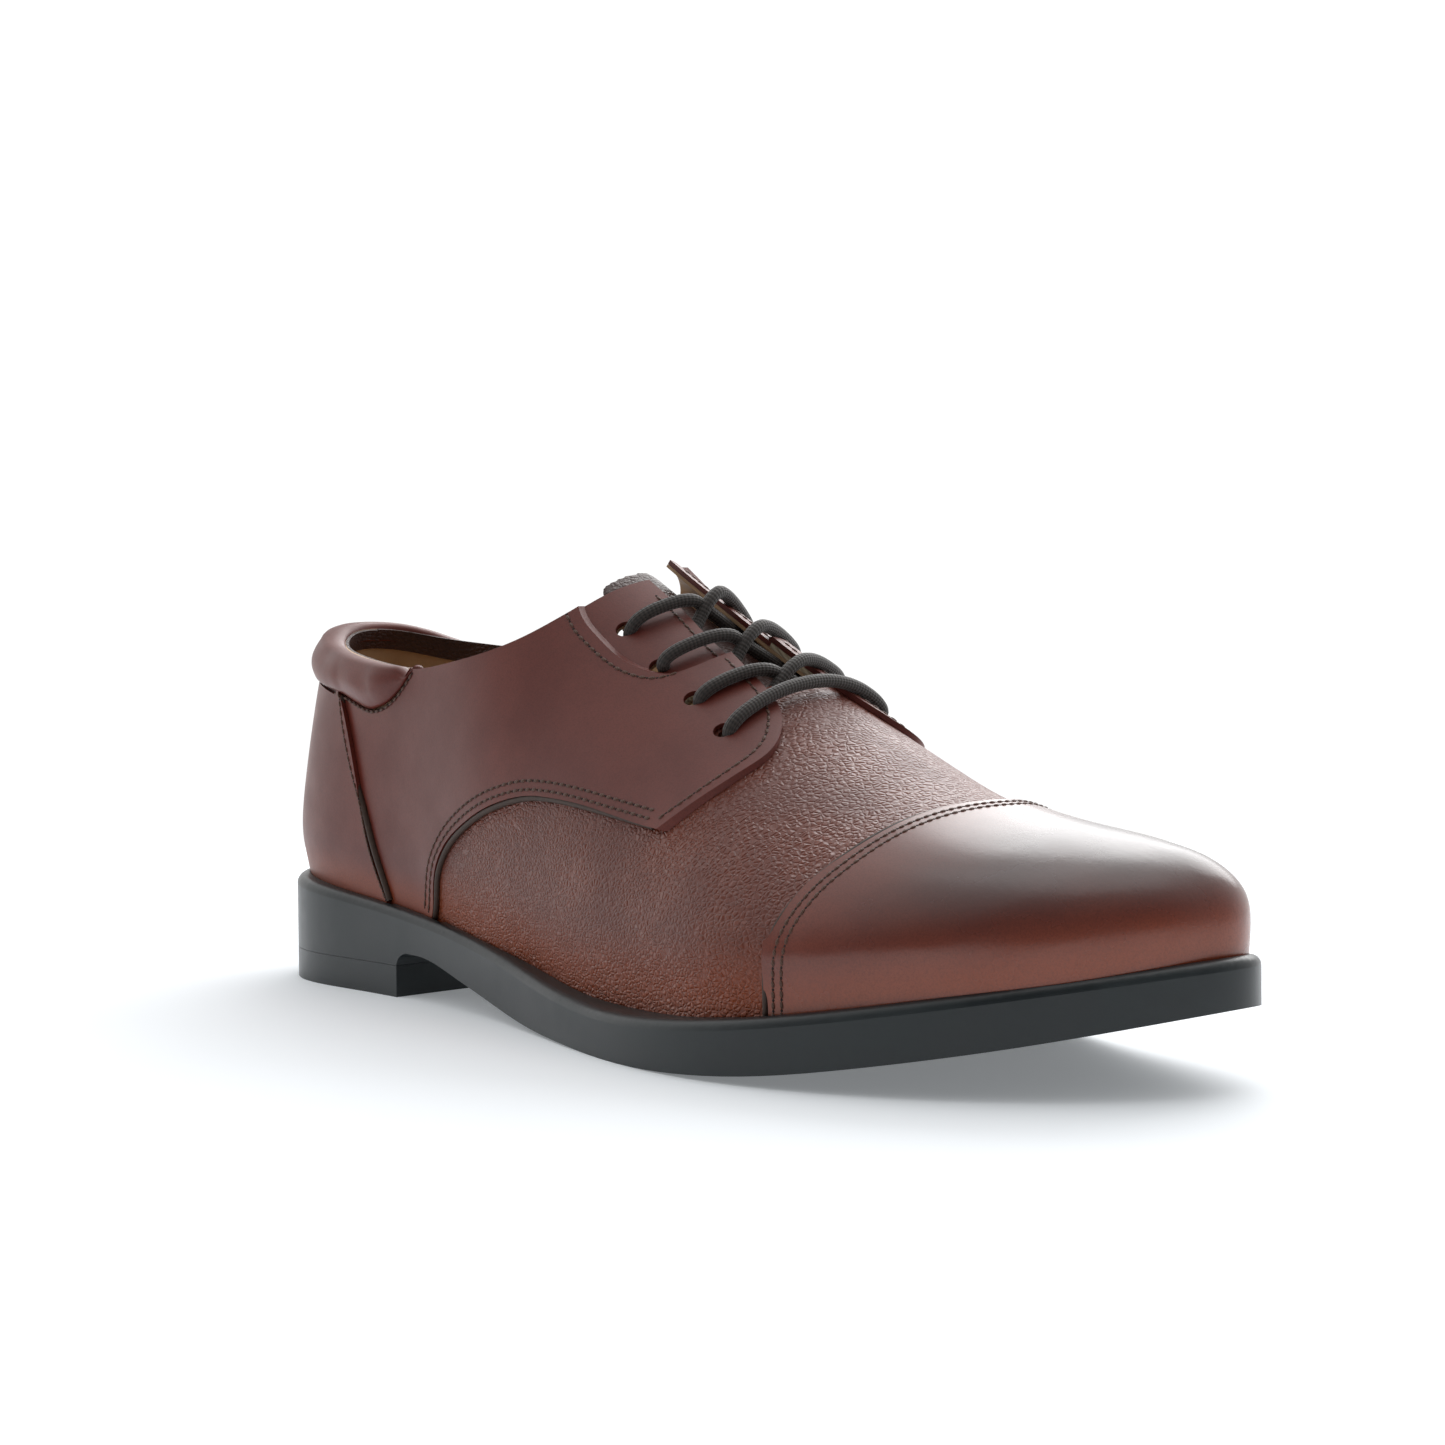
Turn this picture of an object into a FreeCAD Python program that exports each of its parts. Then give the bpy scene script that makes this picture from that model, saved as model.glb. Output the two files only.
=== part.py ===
import FreeCAD, Part
import math
import os

# Men's leather cap-toe lace-up shoe, right foot.
# Lengths in mm, +X from heel to toe, +Y to the inner (medial) side of the foot,
# +Z up. The origin is on the ground under the middle of the shoe.
# Stations ("..._at_205") are distances from the back of the heel on a
# 300 mm sole; heights called "rise" are measured from the upper edge of the sole.

os.makedirs("parts", exist_ok=True)
doc = FreeCAD.newDocument("Shoe")
sheet = doc.addObject("Spreadsheet::Sheet", "Sizes")
V = FreeCAD.Vector
row = [1]
named = []


def size(name, value, note=""):
    """One named size: its name, its number and what it measures."""
    sheet.set("A%d" % row[0], name)
    sheet.set("B%d" % row[0], repr(float(value)))
    sheet.set("C%d" % row[0], note)
    sheet.setAlias("B%d" % row[0], name)
    named.append(name)
    row[0] += 1


def table(name, values, note=""):
    """A line of sizes along the shoe, one cell for each station."""
    for station in sorted(values):
        tag = "m%d" % -station if station < 0 else "%d" % station
        size("%s_at_%s" % (name, tag), values[station], note)


def curve(name, values, note=""):
    """A drawn outline: two cells for each of its points."""
    for k, (a, b) in enumerate(values):
        size("%s_point_%d_along" % (name, k), a, note)
        size("%s_point_%d_across" % (name, k), b, note)


# ---------------------------------------------------------------- sizes
size("sole_length", 300, "sole, back of heel to tip")
size("station_length", 300, "sole length the station numbers belong to")
size("ball_width", 108.2, "sole, widest, across the ball")
size("station_width", 108.2, "ball width the drawn widths belong to")
size("middle_offset", 4.6, "heel axis to the middle of the overall width")

size("lining_thickness", 0.8, "leather lining")
size("heel_lining_end", 46, "station where heel lining meets quarter lining")
size("lining_seam_back", 22, "lining seam behind the quarter arc")
size("toe_lining_start", 226, "station where toe lining meets vamp lining")
size("sock_inset", 0.5, "sock liner inside the lining")
size("filler_end", 262, "station of the front end of the cork")
size("middle_thickness", 1.2, "vamp, stiffeners and backings")
size("outer_thickness", 1.3, "quarters and toe cap")
size("cover_thickness", 1.2, "heel counter cover")
size("cement_gap", 0.1, "cement film between two layers")
size("heel_overhang", 1.65, "middle of the whole shoe behind the middle of its sole")
size("seam_gap", 0.3, "butt seam between two pieces of one layer")
size("sole_gap", 0.12, "cement film between upper and sole")
size("edge_depth", 1.4, "upper edge below the sole edge, in the cup of the sole")
size("wall_roof", 118, "top of the drawn walls, above the top edge")
size("filler_inset", 12, "cork pocket in from the upper")
size("filler_depth", 3, "cork pocket in the sole")

table("sole_edge_height", {0: 28.6, 50: 24.4, 110: 17.4, 160: 11.0, 205: 11.9,
                           250: 18.3, 300: 27.8}, "upper edge of the sole")
size("heel_block_length", 70, "back of heel to breast")
size("top_piece_thickness", 8, "wearing piece under the heel")
size("top_piece_gap", 0.1, "joint between heel block and top piece")
table("sole_bottom_height", {70: 11.2, 80: 11.4, 95: 8.4, 110: 5.2, 125: 2.6,
                             140: 1, 155: 0.4, 180: 0, 205: 0.7, 225: 2.4,
                             250: 6.3, 275: 11.2, 300: 17.2},
      "tread under waist and forepart")
size("breast_corner", 5, "rounded corner where heel breast meets waist")
size("sole_lip_round", 2.2, "rounding of the upper sole edge")
size("sole_tread_round", 1.2, "rounding of the lower sole edge")
size("tip_shift", 10, "sole tip to the inner side of the heel axis")
table("sole_half_outer", {48: 32.5, 110: 37.8, 155: 50, 205: 58.7, 248: 48},
      "sole, outer side, from heel axis")
table("sole_half_inner", {48: 32.5, 110: 26, 155: 37.75, 205: 49.5, 248: 36.8},
      "sole, inner side, from heel axis")

size("upper_seat", 1.5, "last bottom above the sole edge")
table("crest_shift", {0: 0, 48: 0, 80: 1.5, 110: 4.5, 150: 6.5, 190: 5.5,
                      222: 4.7, 255: 6, 280: 8, 293: 10}, "ridge from heel axis")
table("body_outer", {0: 24.5, 20: 24.5, 50: 25.5, 80: 30.5, 110: 39.5, 131: 44,
                     155: 50, 190: 54.5, 205: 56.8, 222: 57.2, 250: 57, 293: 59},
      "last, ridge line to outer wall")
table("body_inner", {0: 24.5, 20: 24.5, 50: 25, 80: 23.5, 110: 21.5, 131: 22.5,
                     155: 27.5, 190: 35.5, 205: 38.5, 222: 38.3, 250: 32, 293: 27},
      "last, ridge line to inner wall")
table("foot_outer", {0: 1, 50: 1, 110: 2.5, 155: 2, 205: 1, 293: 1},
      "outer wall drawn in at the sole")
table("foot_inner", {0: 1, 50: 1.5, 80: 4, 110: 6.5, 131: 5, 155: 2.5, 190: 1.5,
                     222: 1.5, 293: 1}, "inner wall drawn in at the sole")
table("crest_height", {0: 138, 40: 138, 70: 137, 92: 130.5, 110: 120, 128: 108.2,
                       144: 98.6, 157: 91, 168: 84.5, 182: 76.8, 195: 69.9, 206: 65,
                       222: 59.2, 240: 55.8, 255: 55, 278: 58, 293: 62},
      "ridge of the last, before the toe rounding")
table("shoulder_outer", {0: 4, 50: 4, 90: 3.6, 110: 3, 130: 2.3, 152: 1.75,
                         192: 1.6, 224: 1.5, 255: 1.8, 293: 2},
      "fullness of the outer shoulder")
table("shoulder_inner", {0: 4, 50: 4, 90: 3.6, 110: 3.4, 130: 3.1, 152: 2.9,
                         192: 2.3, 224: 1.8, 255: 1.9, 293: 2},
      "fullness of the inner shoulder")
table("back_line", {-6: 4.6, 0: 3.4, 8: 1.4, 17: 1.9, 26: 3.7, 41: 7.5, 56: 12,
                    65: 15.2, 76: 19.2, 89: 24, 111: 32},
      "back of the last at a rise")
size("widest_rise", 13, "widest level above the last bottom, rear")
size("widest_rise_toe", 7, "widest level above the last bottom, toe")
size("heel_round_length", 46, "length of the heel rounding in plan")
size("toe_round_start", 188, "station where the toe rounding begins")
size("toe_tip", 293.5, "station of the tip of the last")

# side-view outlines: station, rise above the sole edge
curve("topline_outer", [(4, 70), (8, 69), (14, 67), (22, 64), (35, 62), (53, 61),
                        (69, 61.2), (84, 63.4), (94, 65.9), (104.4, 69),
                        (112.7, 72.3), (120.3, 76.6), (126, 81.3), (128.7, 84.2),
                        (131, 87.4), (133.6, 90.6), (138, 94), (146, 99)],
      "top edge, outer side")
curve("topline_inner", [(4, 70), (8, 69), (14, 67), (22, 65), (35, 64), (53, 64),
                        (69, 65), (84, 67.5), (94, 70), (103, 73.5), (112, 78.5),
                        (118, 83), (122.5, 88), (126, 93), (131, 99), (138, 104)],
      "top edge, inner side")
curve("quarter_arc", [(81.2, 0), (84.1, 7.6), (87.5, 14.6), (93.6, 21.6),
                      (102.1, 27.4), (112.2, 33.1), (122, 37.4), (131, 40.2),
                      (141.2, 41.6), (153, 42), (164.3, 41.1), (181, 39)],
      "lower front edge of a quarter over the vamp")
curve("counter_edge", [(60.2, 0), (56.8, 5.5), (53.6, 12), (50.8, 19.5),
                       (48, 28.6), (45.2, 37), (41.8, 45), (38.4, 50.5), (36, 53)],
      "front edge of the heel counter cover")
curve("collar_edge", [(6, 54), (20, 53), (36.5, 51.5), (45.1, 49.9), (53.6, 49),
                      (60.7, 50.8), (65.8, 53.8), (69.6, 57), (73.8, 61.8)],
      "lower edge of the padded collar")
curve("insert_edge", [(128.7, 84.2), (132.8, 80.8), (138, 78), (143.9, 75.2),
                      (150.6, 73), (156.9, 71.9), (161.2, 72.2), (163.8, 74),
                      (165.4, 76.2)], "quarter edge over the eyestay insert")
size("insert_overlap", 6, "insert hidden under the quarter")
size("vamp_overlap", 9, "vamp hidden under quarter and toe cap")
# plan outlines: station, distance to the inner side of the heel axis
curve("throat_outer", [(141, -3.6), (149, -4.2), (158.2, -5.4), (165.7, -6),
                       (172.5, -7), (181.3, -8.7), (187.5, -11.2), (191.4, -14.6),
                       (194.7, -19.2), (195.8, -24.5), (194.6, -29.3),
                       (192.2, -33.9), (188, -38.6), (181, -43)],
      "facing and tab edge, outer side")
curve("throat_inner", [(132, 9), (142, 9.2), (150, 9.4), (158, 9.8), (166, 10.3),
                       (173, 11), (181.5, 12.6), (187.5, 14.8), (191.6, 17.6),
                       (194.7, 21), (195.8, 25), (194.6, 28.6), (192.2, 31.4),
                       (188, 34.6), (181, 37.6)], "facing and tab edge, inner side")
curve("cap_edge", [(221.2, -62), (221.6, -52), (224.2, -52), (226.9, -47),
                   (231.4, -35.5), (234.8, -19.5), (237.6, -4), (238.8, 5),
                   (237.6, 16), (234, 28), (229, 38), (224, 52), (223, 62)],
      "back edge of the toe cap in plan")
size("vamp_throat", 178, "station of the vamp edge under the tabs")
size("facing_strip_width", 24, "reinforcement behind the facing edge")

# eyelets: station, distance to the inner side, one line from toe to ankle
curve("eyelet_outer", [(181.3, -22), (168.6, -19.4), (154.2, -17.6), (140.3, -15.8)],
      "punched lace hole, outer side")
curve("eyelet_inner", [(180.8, 24.6), (168, 23.2), (153, 22.8), (138.6, 22.6)],
      "punched lace hole, inner side")
size("eyelet_diameter", 4.8, "punched lace hole")
size("lace_diameter", 3.2, "round waxed lace")
size("lace_clearance", 0.25, "lace to leather and tongue")
size("lace_edge_clear", 1.6, "lace turning point past a facing edge")
size("lace_cross_high", 4.2, "upper strand above the lining where two cross")
size("lace_cross_low", 0.5, "lower strand above the lining where two cross")
size("aglet_length", 20, "sheathed lace tip")
size("aglet_wall", 0.25, "sheath wall")
size("aglet_gap", 0.03, "sheath to lace")

size("tongue_depth", 3.95, "tongue face below the lining")
size("tongue_leather_thickness", 1.2, "tongue face leather")
size("tongue_foam_thickness", 2.6, "tongue padding")
size("tongue_lining_thickness", 0.8, "tongue lining")
size("tongue_root", 192, "station of the tongue seam")
size("tongue_tip", 124, "station of the free end")
size("tongue_root_outer", -9, "tongue edge at the seam, outer side")
size("tongue_root_inner", 15, "tongue edge at the seam, inner side")
size("tongue_tip_outer", -15, "tongue edge at the free end, outer side")
size("tongue_tip_inner", 24, "tongue edge at the free end, inner side")

size("board_thickness", 2.2, "insole board")
size("sock_thickness", 1.0, "sock liner")
size("heel_pad_thickness", 3.0, "foam under the sock liner")
size("heel_pad_length", 84, "foam pad from the back of the heel")
size("heel_pad_taper", 26, "length over which the pad thins out")
size("shank_thickness", 1.5, "steel shank")
size("shank_width", 14, "steel shank")
size("shank_start", 42, "station of the rear end")
size("shank_end", 148, "station of the front end")
size("shank_depth", 0.4, "shank top below the insole board")
size("filler_gap", 0.15, "filler to the turned-in upper")

size("collar_bulge", 3.2, "padding outside the quarter face")
size("collar_cover_thickness", 1.0, "collar leather")
size("collar_foam_drop", 1.2, "foam below the top edge")
size("binding_thickness", 0.8, "topline binding")
size("binding_height", 6, "topline binding, inside the mouth")
doc.recompute()


def get(name):
    value = getattr(sheet, name)
    return float(getattr(value, "Value", value))


def stations(name):
    """Read back a table as two lists."""
    found = []
    for prop in named:
        if prop.startswith(name + "_at_"):
            tag = prop[len(name) + 4:]
            found.append((-float(tag[1:]) if tag[0] == "m" else float(tag), get(prop)))
    found.sort()
    return [f[0] for f in found], [f[1] for f in found]


def points(name):
    """Read back a drawn outline."""
    found, k = [], 0
    while "%s_point_%d_along" % (name, k) in named:
        found.append((get("%s_point_%d_along" % (name, k)),
                      get("%s_point_%d_across" % (name, k))))
        k += 1
    return found


def fair(xs, ys):
    """Natural cubic through the stations, straight on outside them."""
    n = len(xs)
    h = [xs[i + 1] - xs[i] for i in range(n - 1)]
    a, b, c, r = [0.0] * n, [1.0] * n, [0.0] * n, [0.0] * n
    for i in range(1, n - 1):
        a[i], b[i], c[i] = h[i - 1], 2 * (h[i - 1] + h[i]), h[i]
        r[i] = 6 * ((ys[i + 1] - ys[i]) / h[i] - (ys[i] - ys[i - 1]) / h[i - 1])
    for i in range(1, n):
        w = a[i] / b[i - 1]
        b[i] -= w * c[i - 1]
        r[i] -= w * r[i - 1]
    m = [0.0] * n
    m[-1] = r[-1] / b[-1]
    for i in range(n - 2, -1, -1):
        m[i] = (r[i] - c[i] * m[i + 1]) / b[i]

    def value(x):
        if x <= xs[0]:
            return ys[0] + ((ys[1] - ys[0]) / h[0] - h[0] * (2 * m[0] + m[1]) / 6) * (x - xs[0])
        if x >= xs[-1]:
            return ys[-1] + ((ys[-1] - ys[-2]) / h[-1] + h[-1] * (m[-2] + 2 * m[-1]) / 6) * (x - xs[-1])
        i = 0
        while x > xs[i + 1]:
            i += 1
        t, u = x - xs[i], xs[i + 1] - x
        return ((m[i] * u ** 3 + m[i + 1] * t ** 3) / (6 * h[i])
                + (ys[i] / h[i] - m[i] * h[i] / 6) * u
                + (ys[i + 1] / h[i] - m[i + 1] * h[i] / 6) * t)
    return value


sole_edge = fair(*stations("sole_edge_height"))
tread = fair(*stations("sole_bottom_height"))
crest_shift = fair(*stations("crest_shift"))
body = {-1: fair(*stations("body_outer")), 1: fair(*stations("body_inner"))}
foot = {-1: fair(*stations("foot_outer")), 1: fair(*stations("foot_inner"))}
shoulder = {-1: fair(*stations("shoulder_outer")), 1: fair(*stations("shoulder_inner"))}
crest = fair(*stations("crest_height"))
back_line = fair(*stations("back_line"))

kx = get("sole_length") / get("station_length")
ky = get("ball_width") / get("station_width")
x_middle = get("sole_length") / 2 - get("heel_overhang")
y_middle = get("middle_offset") * ky


def at(x, y, z):
    """Station, side distance and height to a point of the shoe."""
    return V(x * kx - x_middle, y * ky + y_middle, z)


# ---------------------------------------------------------------- the last
seat = get("upper_seat")
heel_round = get("heel_round_length")
toe_start = get("toe_round_start")
toe_tip = get("toe_tip")


def last_bottom(x):
    return sole_edge(x) + seat


def widest(x):
    far = min(1.0, max(0.0, (x - 200) / 80.0))
    return last_bottom(x) + get("widest_rise") * (1 - far) + get("widest_rise_toe") * far


def half_width(x, z, side, c):
    """Half width of the last at one station and height; c holds its profiles."""
    t = max(0.0, (z - c["widest"]) / (c["crest"] - c["widest"]))
    round_off = 1 - c["toe"] ** 2
    v = round_off * (1 - (t / math.sqrt(max(1e-9, round_off))) ** c["shoulder"][side]) if round_off > 0 else 0.0
    u = x - back_line(z - c["bottom"])
    if v <= 0 or u <= 0:
        return 0.0
    w = math.sqrt(v)
    if u < heel_round:
        w *= (1 - (1 - u / heel_round) ** 2.3) ** (1 / 2.3)
    s = min(1.0, max(0.0, (z - c["bottom"]) / (c["widest"] - c["bottom"])))
    w *= c["body"][side] - c["foot"][side] * (1 - s * s * (3 - 2 * s))
    return max(0.0, w)


def profiles(x):
    return {"bottom": last_bottom(x), "widest": widest(x), "crest": crest(x),
            "toe": max(0.0, (x - toe_start) / (toe_tip - toe_start)),
            "body": {s: body[s](x) for s in (-1, 1)},
            "foot": {s: foot[s](x) for s in (-1, 1)},
            "shoulder": {s: shoulder[s](x) for s in (-1, 1)}}


def width_at(x, z, side):
    return half_width(x, z, side, profiles(x))


def inside(x, y, z):
    side = -1 if y < crest_shift(x) else 1
    return abs(y - crest_shift(x)) <= width_at(x, z, side) and width_at(x, z, side) > 0


def spread(line, n):
    """Points at equal steps along a polyline."""
    run = [0.0]
    for k in range(1, len(line)):
        run.append(run[-1] + math.dist(line[k], line[k - 1]))
    out, i = [], 0
    for k in range(n):
        mark = run[-1] * k / (n - 1)
        while i < len(run) - 2 and run[i + 1] < mark:
            i += 1
        f = min(1.0, max(0.0, (mark - run[i]) / max(1e-9, run[i + 1] - run[i])))
        out.append(tuple(a + f * (b - a) for a, b in zip(line[i], line[i + 1])))
    return out


bottom_reach = get("edge_depth") + 0.9


def row_height(w, roof):
    """Height line from just below the sole edge (0) to a level roof (1)."""
    return lambda x: (1 - w) * (sole_edge(x) - bottom_reach) + w * roof


def side_rows(side, roof, x_limit, n_rows, n_cols):
    """Level lines of one wall from the back of the heel forward."""
    rows = []
    for i in range(n_rows):
        height = row_height(i / (n_rows - 1), roof)
        lo, hi = -2.0, 30.0
        for k in range(40):
            m = (lo + hi) / 2
            lo, hi = (lo, m) if width_at(m, height(m), side) > 0 else (m, hi)
        start = hi
        ridge = 40.0
        while ridge < 288 and crest(ridge) > height(ridge):
            ridge += 0.5
        lo, hi = ridge - 0.5, ridge
        for k in range(30):
            m = (lo + hi) / 2
            lo, hi = (m, hi) if crest(m) > height(m) else (lo, m)
        ridge = lo - 0.4
        end = (x_limit ** -24 + ridge ** -24) ** (-1 / 24)
        line = []
        for k in range(161):
            t = math.pi * k / 160
            x = start + (end - start) * (1 - math.cos(t)) / 2
            z = height(x)
            line.append((x, crest_shift(x) + side * width_at(x, z, side), z))
        line[0] = (start, crest_shift(start), height(start))
        rows.append([at(*p) for p in spread(line, n_cols)])
    return rows


def arch_rows(x0, x1, n_rows, n_half):
    """Cross sections from the outer sole edge over the ridge to the inner one."""
    rows = []
    for i in range(n_rows):
        x = x0 + (x1 - x0) * i / (n_rows - 1)
        low = sole_edge(x) - bottom_reach
        c = profiles(x)
        high = c["widest"] + (c["crest"] - c["widest"]) * math.sqrt(1 - c["toe"] ** 2)
        halves = []
        for side in (-1, 1):
            line = []
            for k in range(161):
                t = k / 160
                z = low + (high - low) * math.sin(math.pi / 2 * t)
                line.append((crest_shift(x) + side * half_width(x, z, side, c), z))
            line[-1] = (crest_shift(x), high)
            halves.append(spread(line, n_half))
        rows.append([at(x, y, z) for y, z in halves[0]] + [at(x, y, z) for y, z in halves[1][-2::-1]])
    return rows


def cast(origin, direction):
    """Distance from inside the last to its surface."""
    lo, hi = 0.0, 260.0
    for k in range(44):
        m = (lo + hi) / 2
        p = [o + d * m for o, d in zip(origin, direction)]
        lo, hi = (m, hi) if inside(*p) else (lo, m)
    return lo


def toe_rows(x0, n_rows, n_cols):
    """Sections fanned about a line across the shoe, closing over the toe."""
    c = (x0, crest_shift(x0), sole_edge(x0) - 8)
    lowest = math.atan2(sole_edge(toe_tip) - bottom_reach - 1 - c[2], toe_tip - 1.5 - x0)
    profile = []
    for k in range(121):
        a = lowest + (math.pi / 2 - lowest) * (k / 120) ** 1.6
        r = cast(c, (math.cos(a), 0, math.sin(a)))
        profile.append((r * math.cos(a), r * math.sin(a), a * 1e-6))
    angles = [p[2] * 1e6 for p in spread(profile, n_rows)]
    rows = []
    for a in angles:
        line = []
        for k in range(n_cols * 4 + 1):
            psi = math.radians(78) * (2 * k / (n_cols * 4) - 1)
            d = (math.cos(psi) * math.cos(a), math.sin(psi), math.cos(psi) * math.sin(a))
            r = cast(c, d)
            line.append(tuple(o + q * r for o, q in zip(c, d)))
        rows.append([at(*p) for p in spread(line, n_cols)])
    return rows


def heel_rows(x0, roof, n_rows, n_cols):
    """Level lines round the heel from the outer to the inner side."""
    rows = []
    for i in range(n_rows):
        height = row_height(i / (n_rows - 1), roof)
        line = []
        for k in range(n_cols * 3 + 1):
            phi = math.radians(114) * (2 * k / (n_cols * 3) - 1)
            lo, hi = 0.0, 120.0
            for q in range(44):
                m = (lo + hi) / 2
                x, y = x0 - m * math.cos(phi), m * math.sin(phi)
                lo, hi = (m, hi) if inside(x, y, height(x)) else (lo, m)
            x, y = x0 - lo * math.cos(phi), lo * math.sin(phi)
            line.append((x, y, height(x)))
        rows.append([at(*p) for p in spread(line, n_cols)])
    return rows


def even(lines):
    """Shared parameters for a family of lines: mean chord lengths."""
    total = [0.0]
    for k in range(1, len(lines[0])):
        total.append(total[-1] + sum((l[k] - l[k - 1]).Length for l in lines) / len(lines))
    return [t / total[-1] for t in total]


def surface(rows, u_marks, v_marks):
    """Cubic surface through a grid of points with shared parameters."""
    net, knots, across = [], None, None
    for r in rows:
        line = Part.BSplineCurve()
        line.interpolate(Points=r, Parameters=v_marks)
        net.append(line.getPoles())
        knots = (line.getKnots(), line.getMultiplicities())
    columns = []
    for j in range(len(net[0])):
        line = Part.BSplineCurve()
        line.interpolate(Points=[p[j] for p in net], Parameters=u_marks)
        columns.append(line.getPoles())
        across = (line.getKnots(), line.getMultiplicities())
    result = Part.BSplineSurface()
    result.buildFromPolesMultsKnots([[c[i] for c in columns] for i in range(len(columns[0]))],
                                    across[1], knots[1], across[0], knots[0], False, False, 3, 3)
    return result


class Patch:
    """Part of the last surface; grows into curved slabs of leather."""

    def __init__(self, rows, centre):
        self.rows = rows
        self.v = even(rows)
        self.u = even([[r[j] for r in rows] for j in range(len(rows[0]))])
        self.base = surface(rows, self.u, self.v)
        self.normals = []
        for i, u in enumerate(self.u):
            line = []
            for j, v in enumerate(self.v):
                n = self.base.getDN(u, v, 0, 1).cross(self.base.getDN(u, v, 1, 0))
                n.normalize()
                line.append(n)
            self.normals.append(line)
        i, j = len(rows) // 2, len(rows[0]) // 2
        if self.normals[i][j].dot(rows[i][j] - at(*centre)) < 0:
            self.normals = [[n * -1 for n in line] for line in self.normals]

    def skin(self, offset):
        rows = [[p + self.normals[i][j] * (offset(p) if callable(offset) else offset)
                 for j, p in enumerate(line)] for i, line in enumerate(self.rows)]
        return surface(rows, self.u, self.v)

    def slab(self, inner, outer):
        """Solid between two offsets of the surface."""
        a, b = self.skin(inner), self.skin(outer)
        faces = [a.toShape(), b.toShape()]
        for e in (0.0, 1.0):
            for p, q in ((a.uIso(e), b.uIso(e)), (a.vIso(e), b.vIso(e))):
                edge = Part.BSplineSurface()
                edge.buildFromPolesMultsKnots([p.getPoles(), q.getPoles()], [2, 2], p.getMultiplicities(),
                                              [0, 1], p.getKnots(), False, False, 1, p.Degree)
                faces.append(edge.toShape())
        shell = Part.makeShell(faces)
        shell.sewShape()
        solid = Part.makeSolid(shell)
        if solid.Volume < 0:
            solid.reverse()
        return solid


roof = get("wall_roof")
walls = {side: Patch(side_rows(side, roof, 208, 18, 30), (100, 3, 60)) for side in (-1, 1)}
arches = Patch(arch_rows(66, 262, 26, 20), (170, 5, 30))
toe = Patch(toe_rows(200, 16, 31), (220, 5, 25))
heel = Patch(heel_rows(58, roof - 4, 15, 33), (58, 0, 60))

# offsets of the layers, from the foot outward
lining_out = get("lining_thickness")
middle_in = lining_out + get("cement_gap")
middle_out = middle_in + get("middle_thickness")
outer_in = middle_out + get("cement_gap")
outer_out = outer_in + get("outer_thickness")
cover_in = outer_out + get("cement_gap")
cover_out = cover_in + get("cover_thickness")
far_out = 90.0


def side_face(lines, y0, y1):
    """Prism across the shoe from a side-view outline of (station, height) lists."""
    edges, first_point, end = [], None, None
    for kind, pts in lines:
        pts = [V(p[0] * kx - x_middle, y0, p[1]) for p in pts]
        if end is not None and (pts[0] - end).Length > 1e-6:
            edges.append(Part.makeLine(end, pts[0]))
        if first_point is None:
            first_point = pts[0]
        if kind == "fair" and len(pts) > 2:
            line = Part.BSplineCurve()
            line.interpolate(pts)
            edges.append(line.toShape())
        else:
            edges += [Part.makeLine(pts[k], pts[k + 1]) for k in range(len(pts) - 1)]
        end = pts[-1]
    if (end - first_point).Length > 1e-6:
        edges.append(Part.makeLine(end, first_point))
    return Part.Face(Part.Wire(edges)).extrude(V(0, y1 - y0, 0))


def plan_face(lines, z0, z1):
    """Prism upward from a plan outline of (station, side distance) lists."""
    edges, first_point, end = [], None, None
    for kind, pts in lines:
        pts = [at(p[0], p[1], z0) for p in pts]
        if end is not None and (pts[0] - end).Length > 1e-6:
            edges.append(Part.makeLine(end, pts[0]))
        if first_point is None:
            first_point = pts[0]
        if kind == "fair" and len(pts) > 2:
            line = Part.BSplineCurve()
            line.interpolate(pts)
            edges.append(line.toShape())
        else:
            edges += [Part.makeLine(pts[k], pts[k + 1]) for k in range(len(pts) - 1)]
        end = pts[-1]
    if (end - first_point).Length > 1e-6:
        edges.append(Part.makeLine(end, first_point))
    return Part.Face(Part.Wire(edges)).extrude(V(0, 0, z1 - z0))


def heights(function, x0, x1, n=30):
    return [(x0 + (x1 - x0) * k / n, function(x0 + (x1 - x0) * k / n)) for k in range(n + 1)]


def band(low, high, x0=-20.0, x1=320.0):
    """Full-width prism between two height lines."""
    return side_face([("fair", heights(low, x0, x1)),
                      ("fair", heights(high, x0, x1)[::-1])], -far_out, far_out)


def raised(name, shift_x=0.0, shift_z=0.0):
    """Side-view outline points with their rise turned into a height."""
    return [(x + shift_x, sole_edge(x) + r + shift_z) for x, r in points(name)]


def slab(x0, x1):
    return side_face([("line", [(x0, -50), (x1, -50), (x1, 220), (x0, 220)])], -far_out, far_out)


def largest(shape):
    solids = sorted(shape.Solids, key=lambda s: s.Volume)
    return solids[-1]


edge_depth = get("edge_depth")


def edge_floor(x):
    """Lower edge of every layer, on the floor of the sole cup."""
    return sole_edge(x) - edge_depth


above_floor = band(edge_floor, lambda x: 240)


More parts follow.
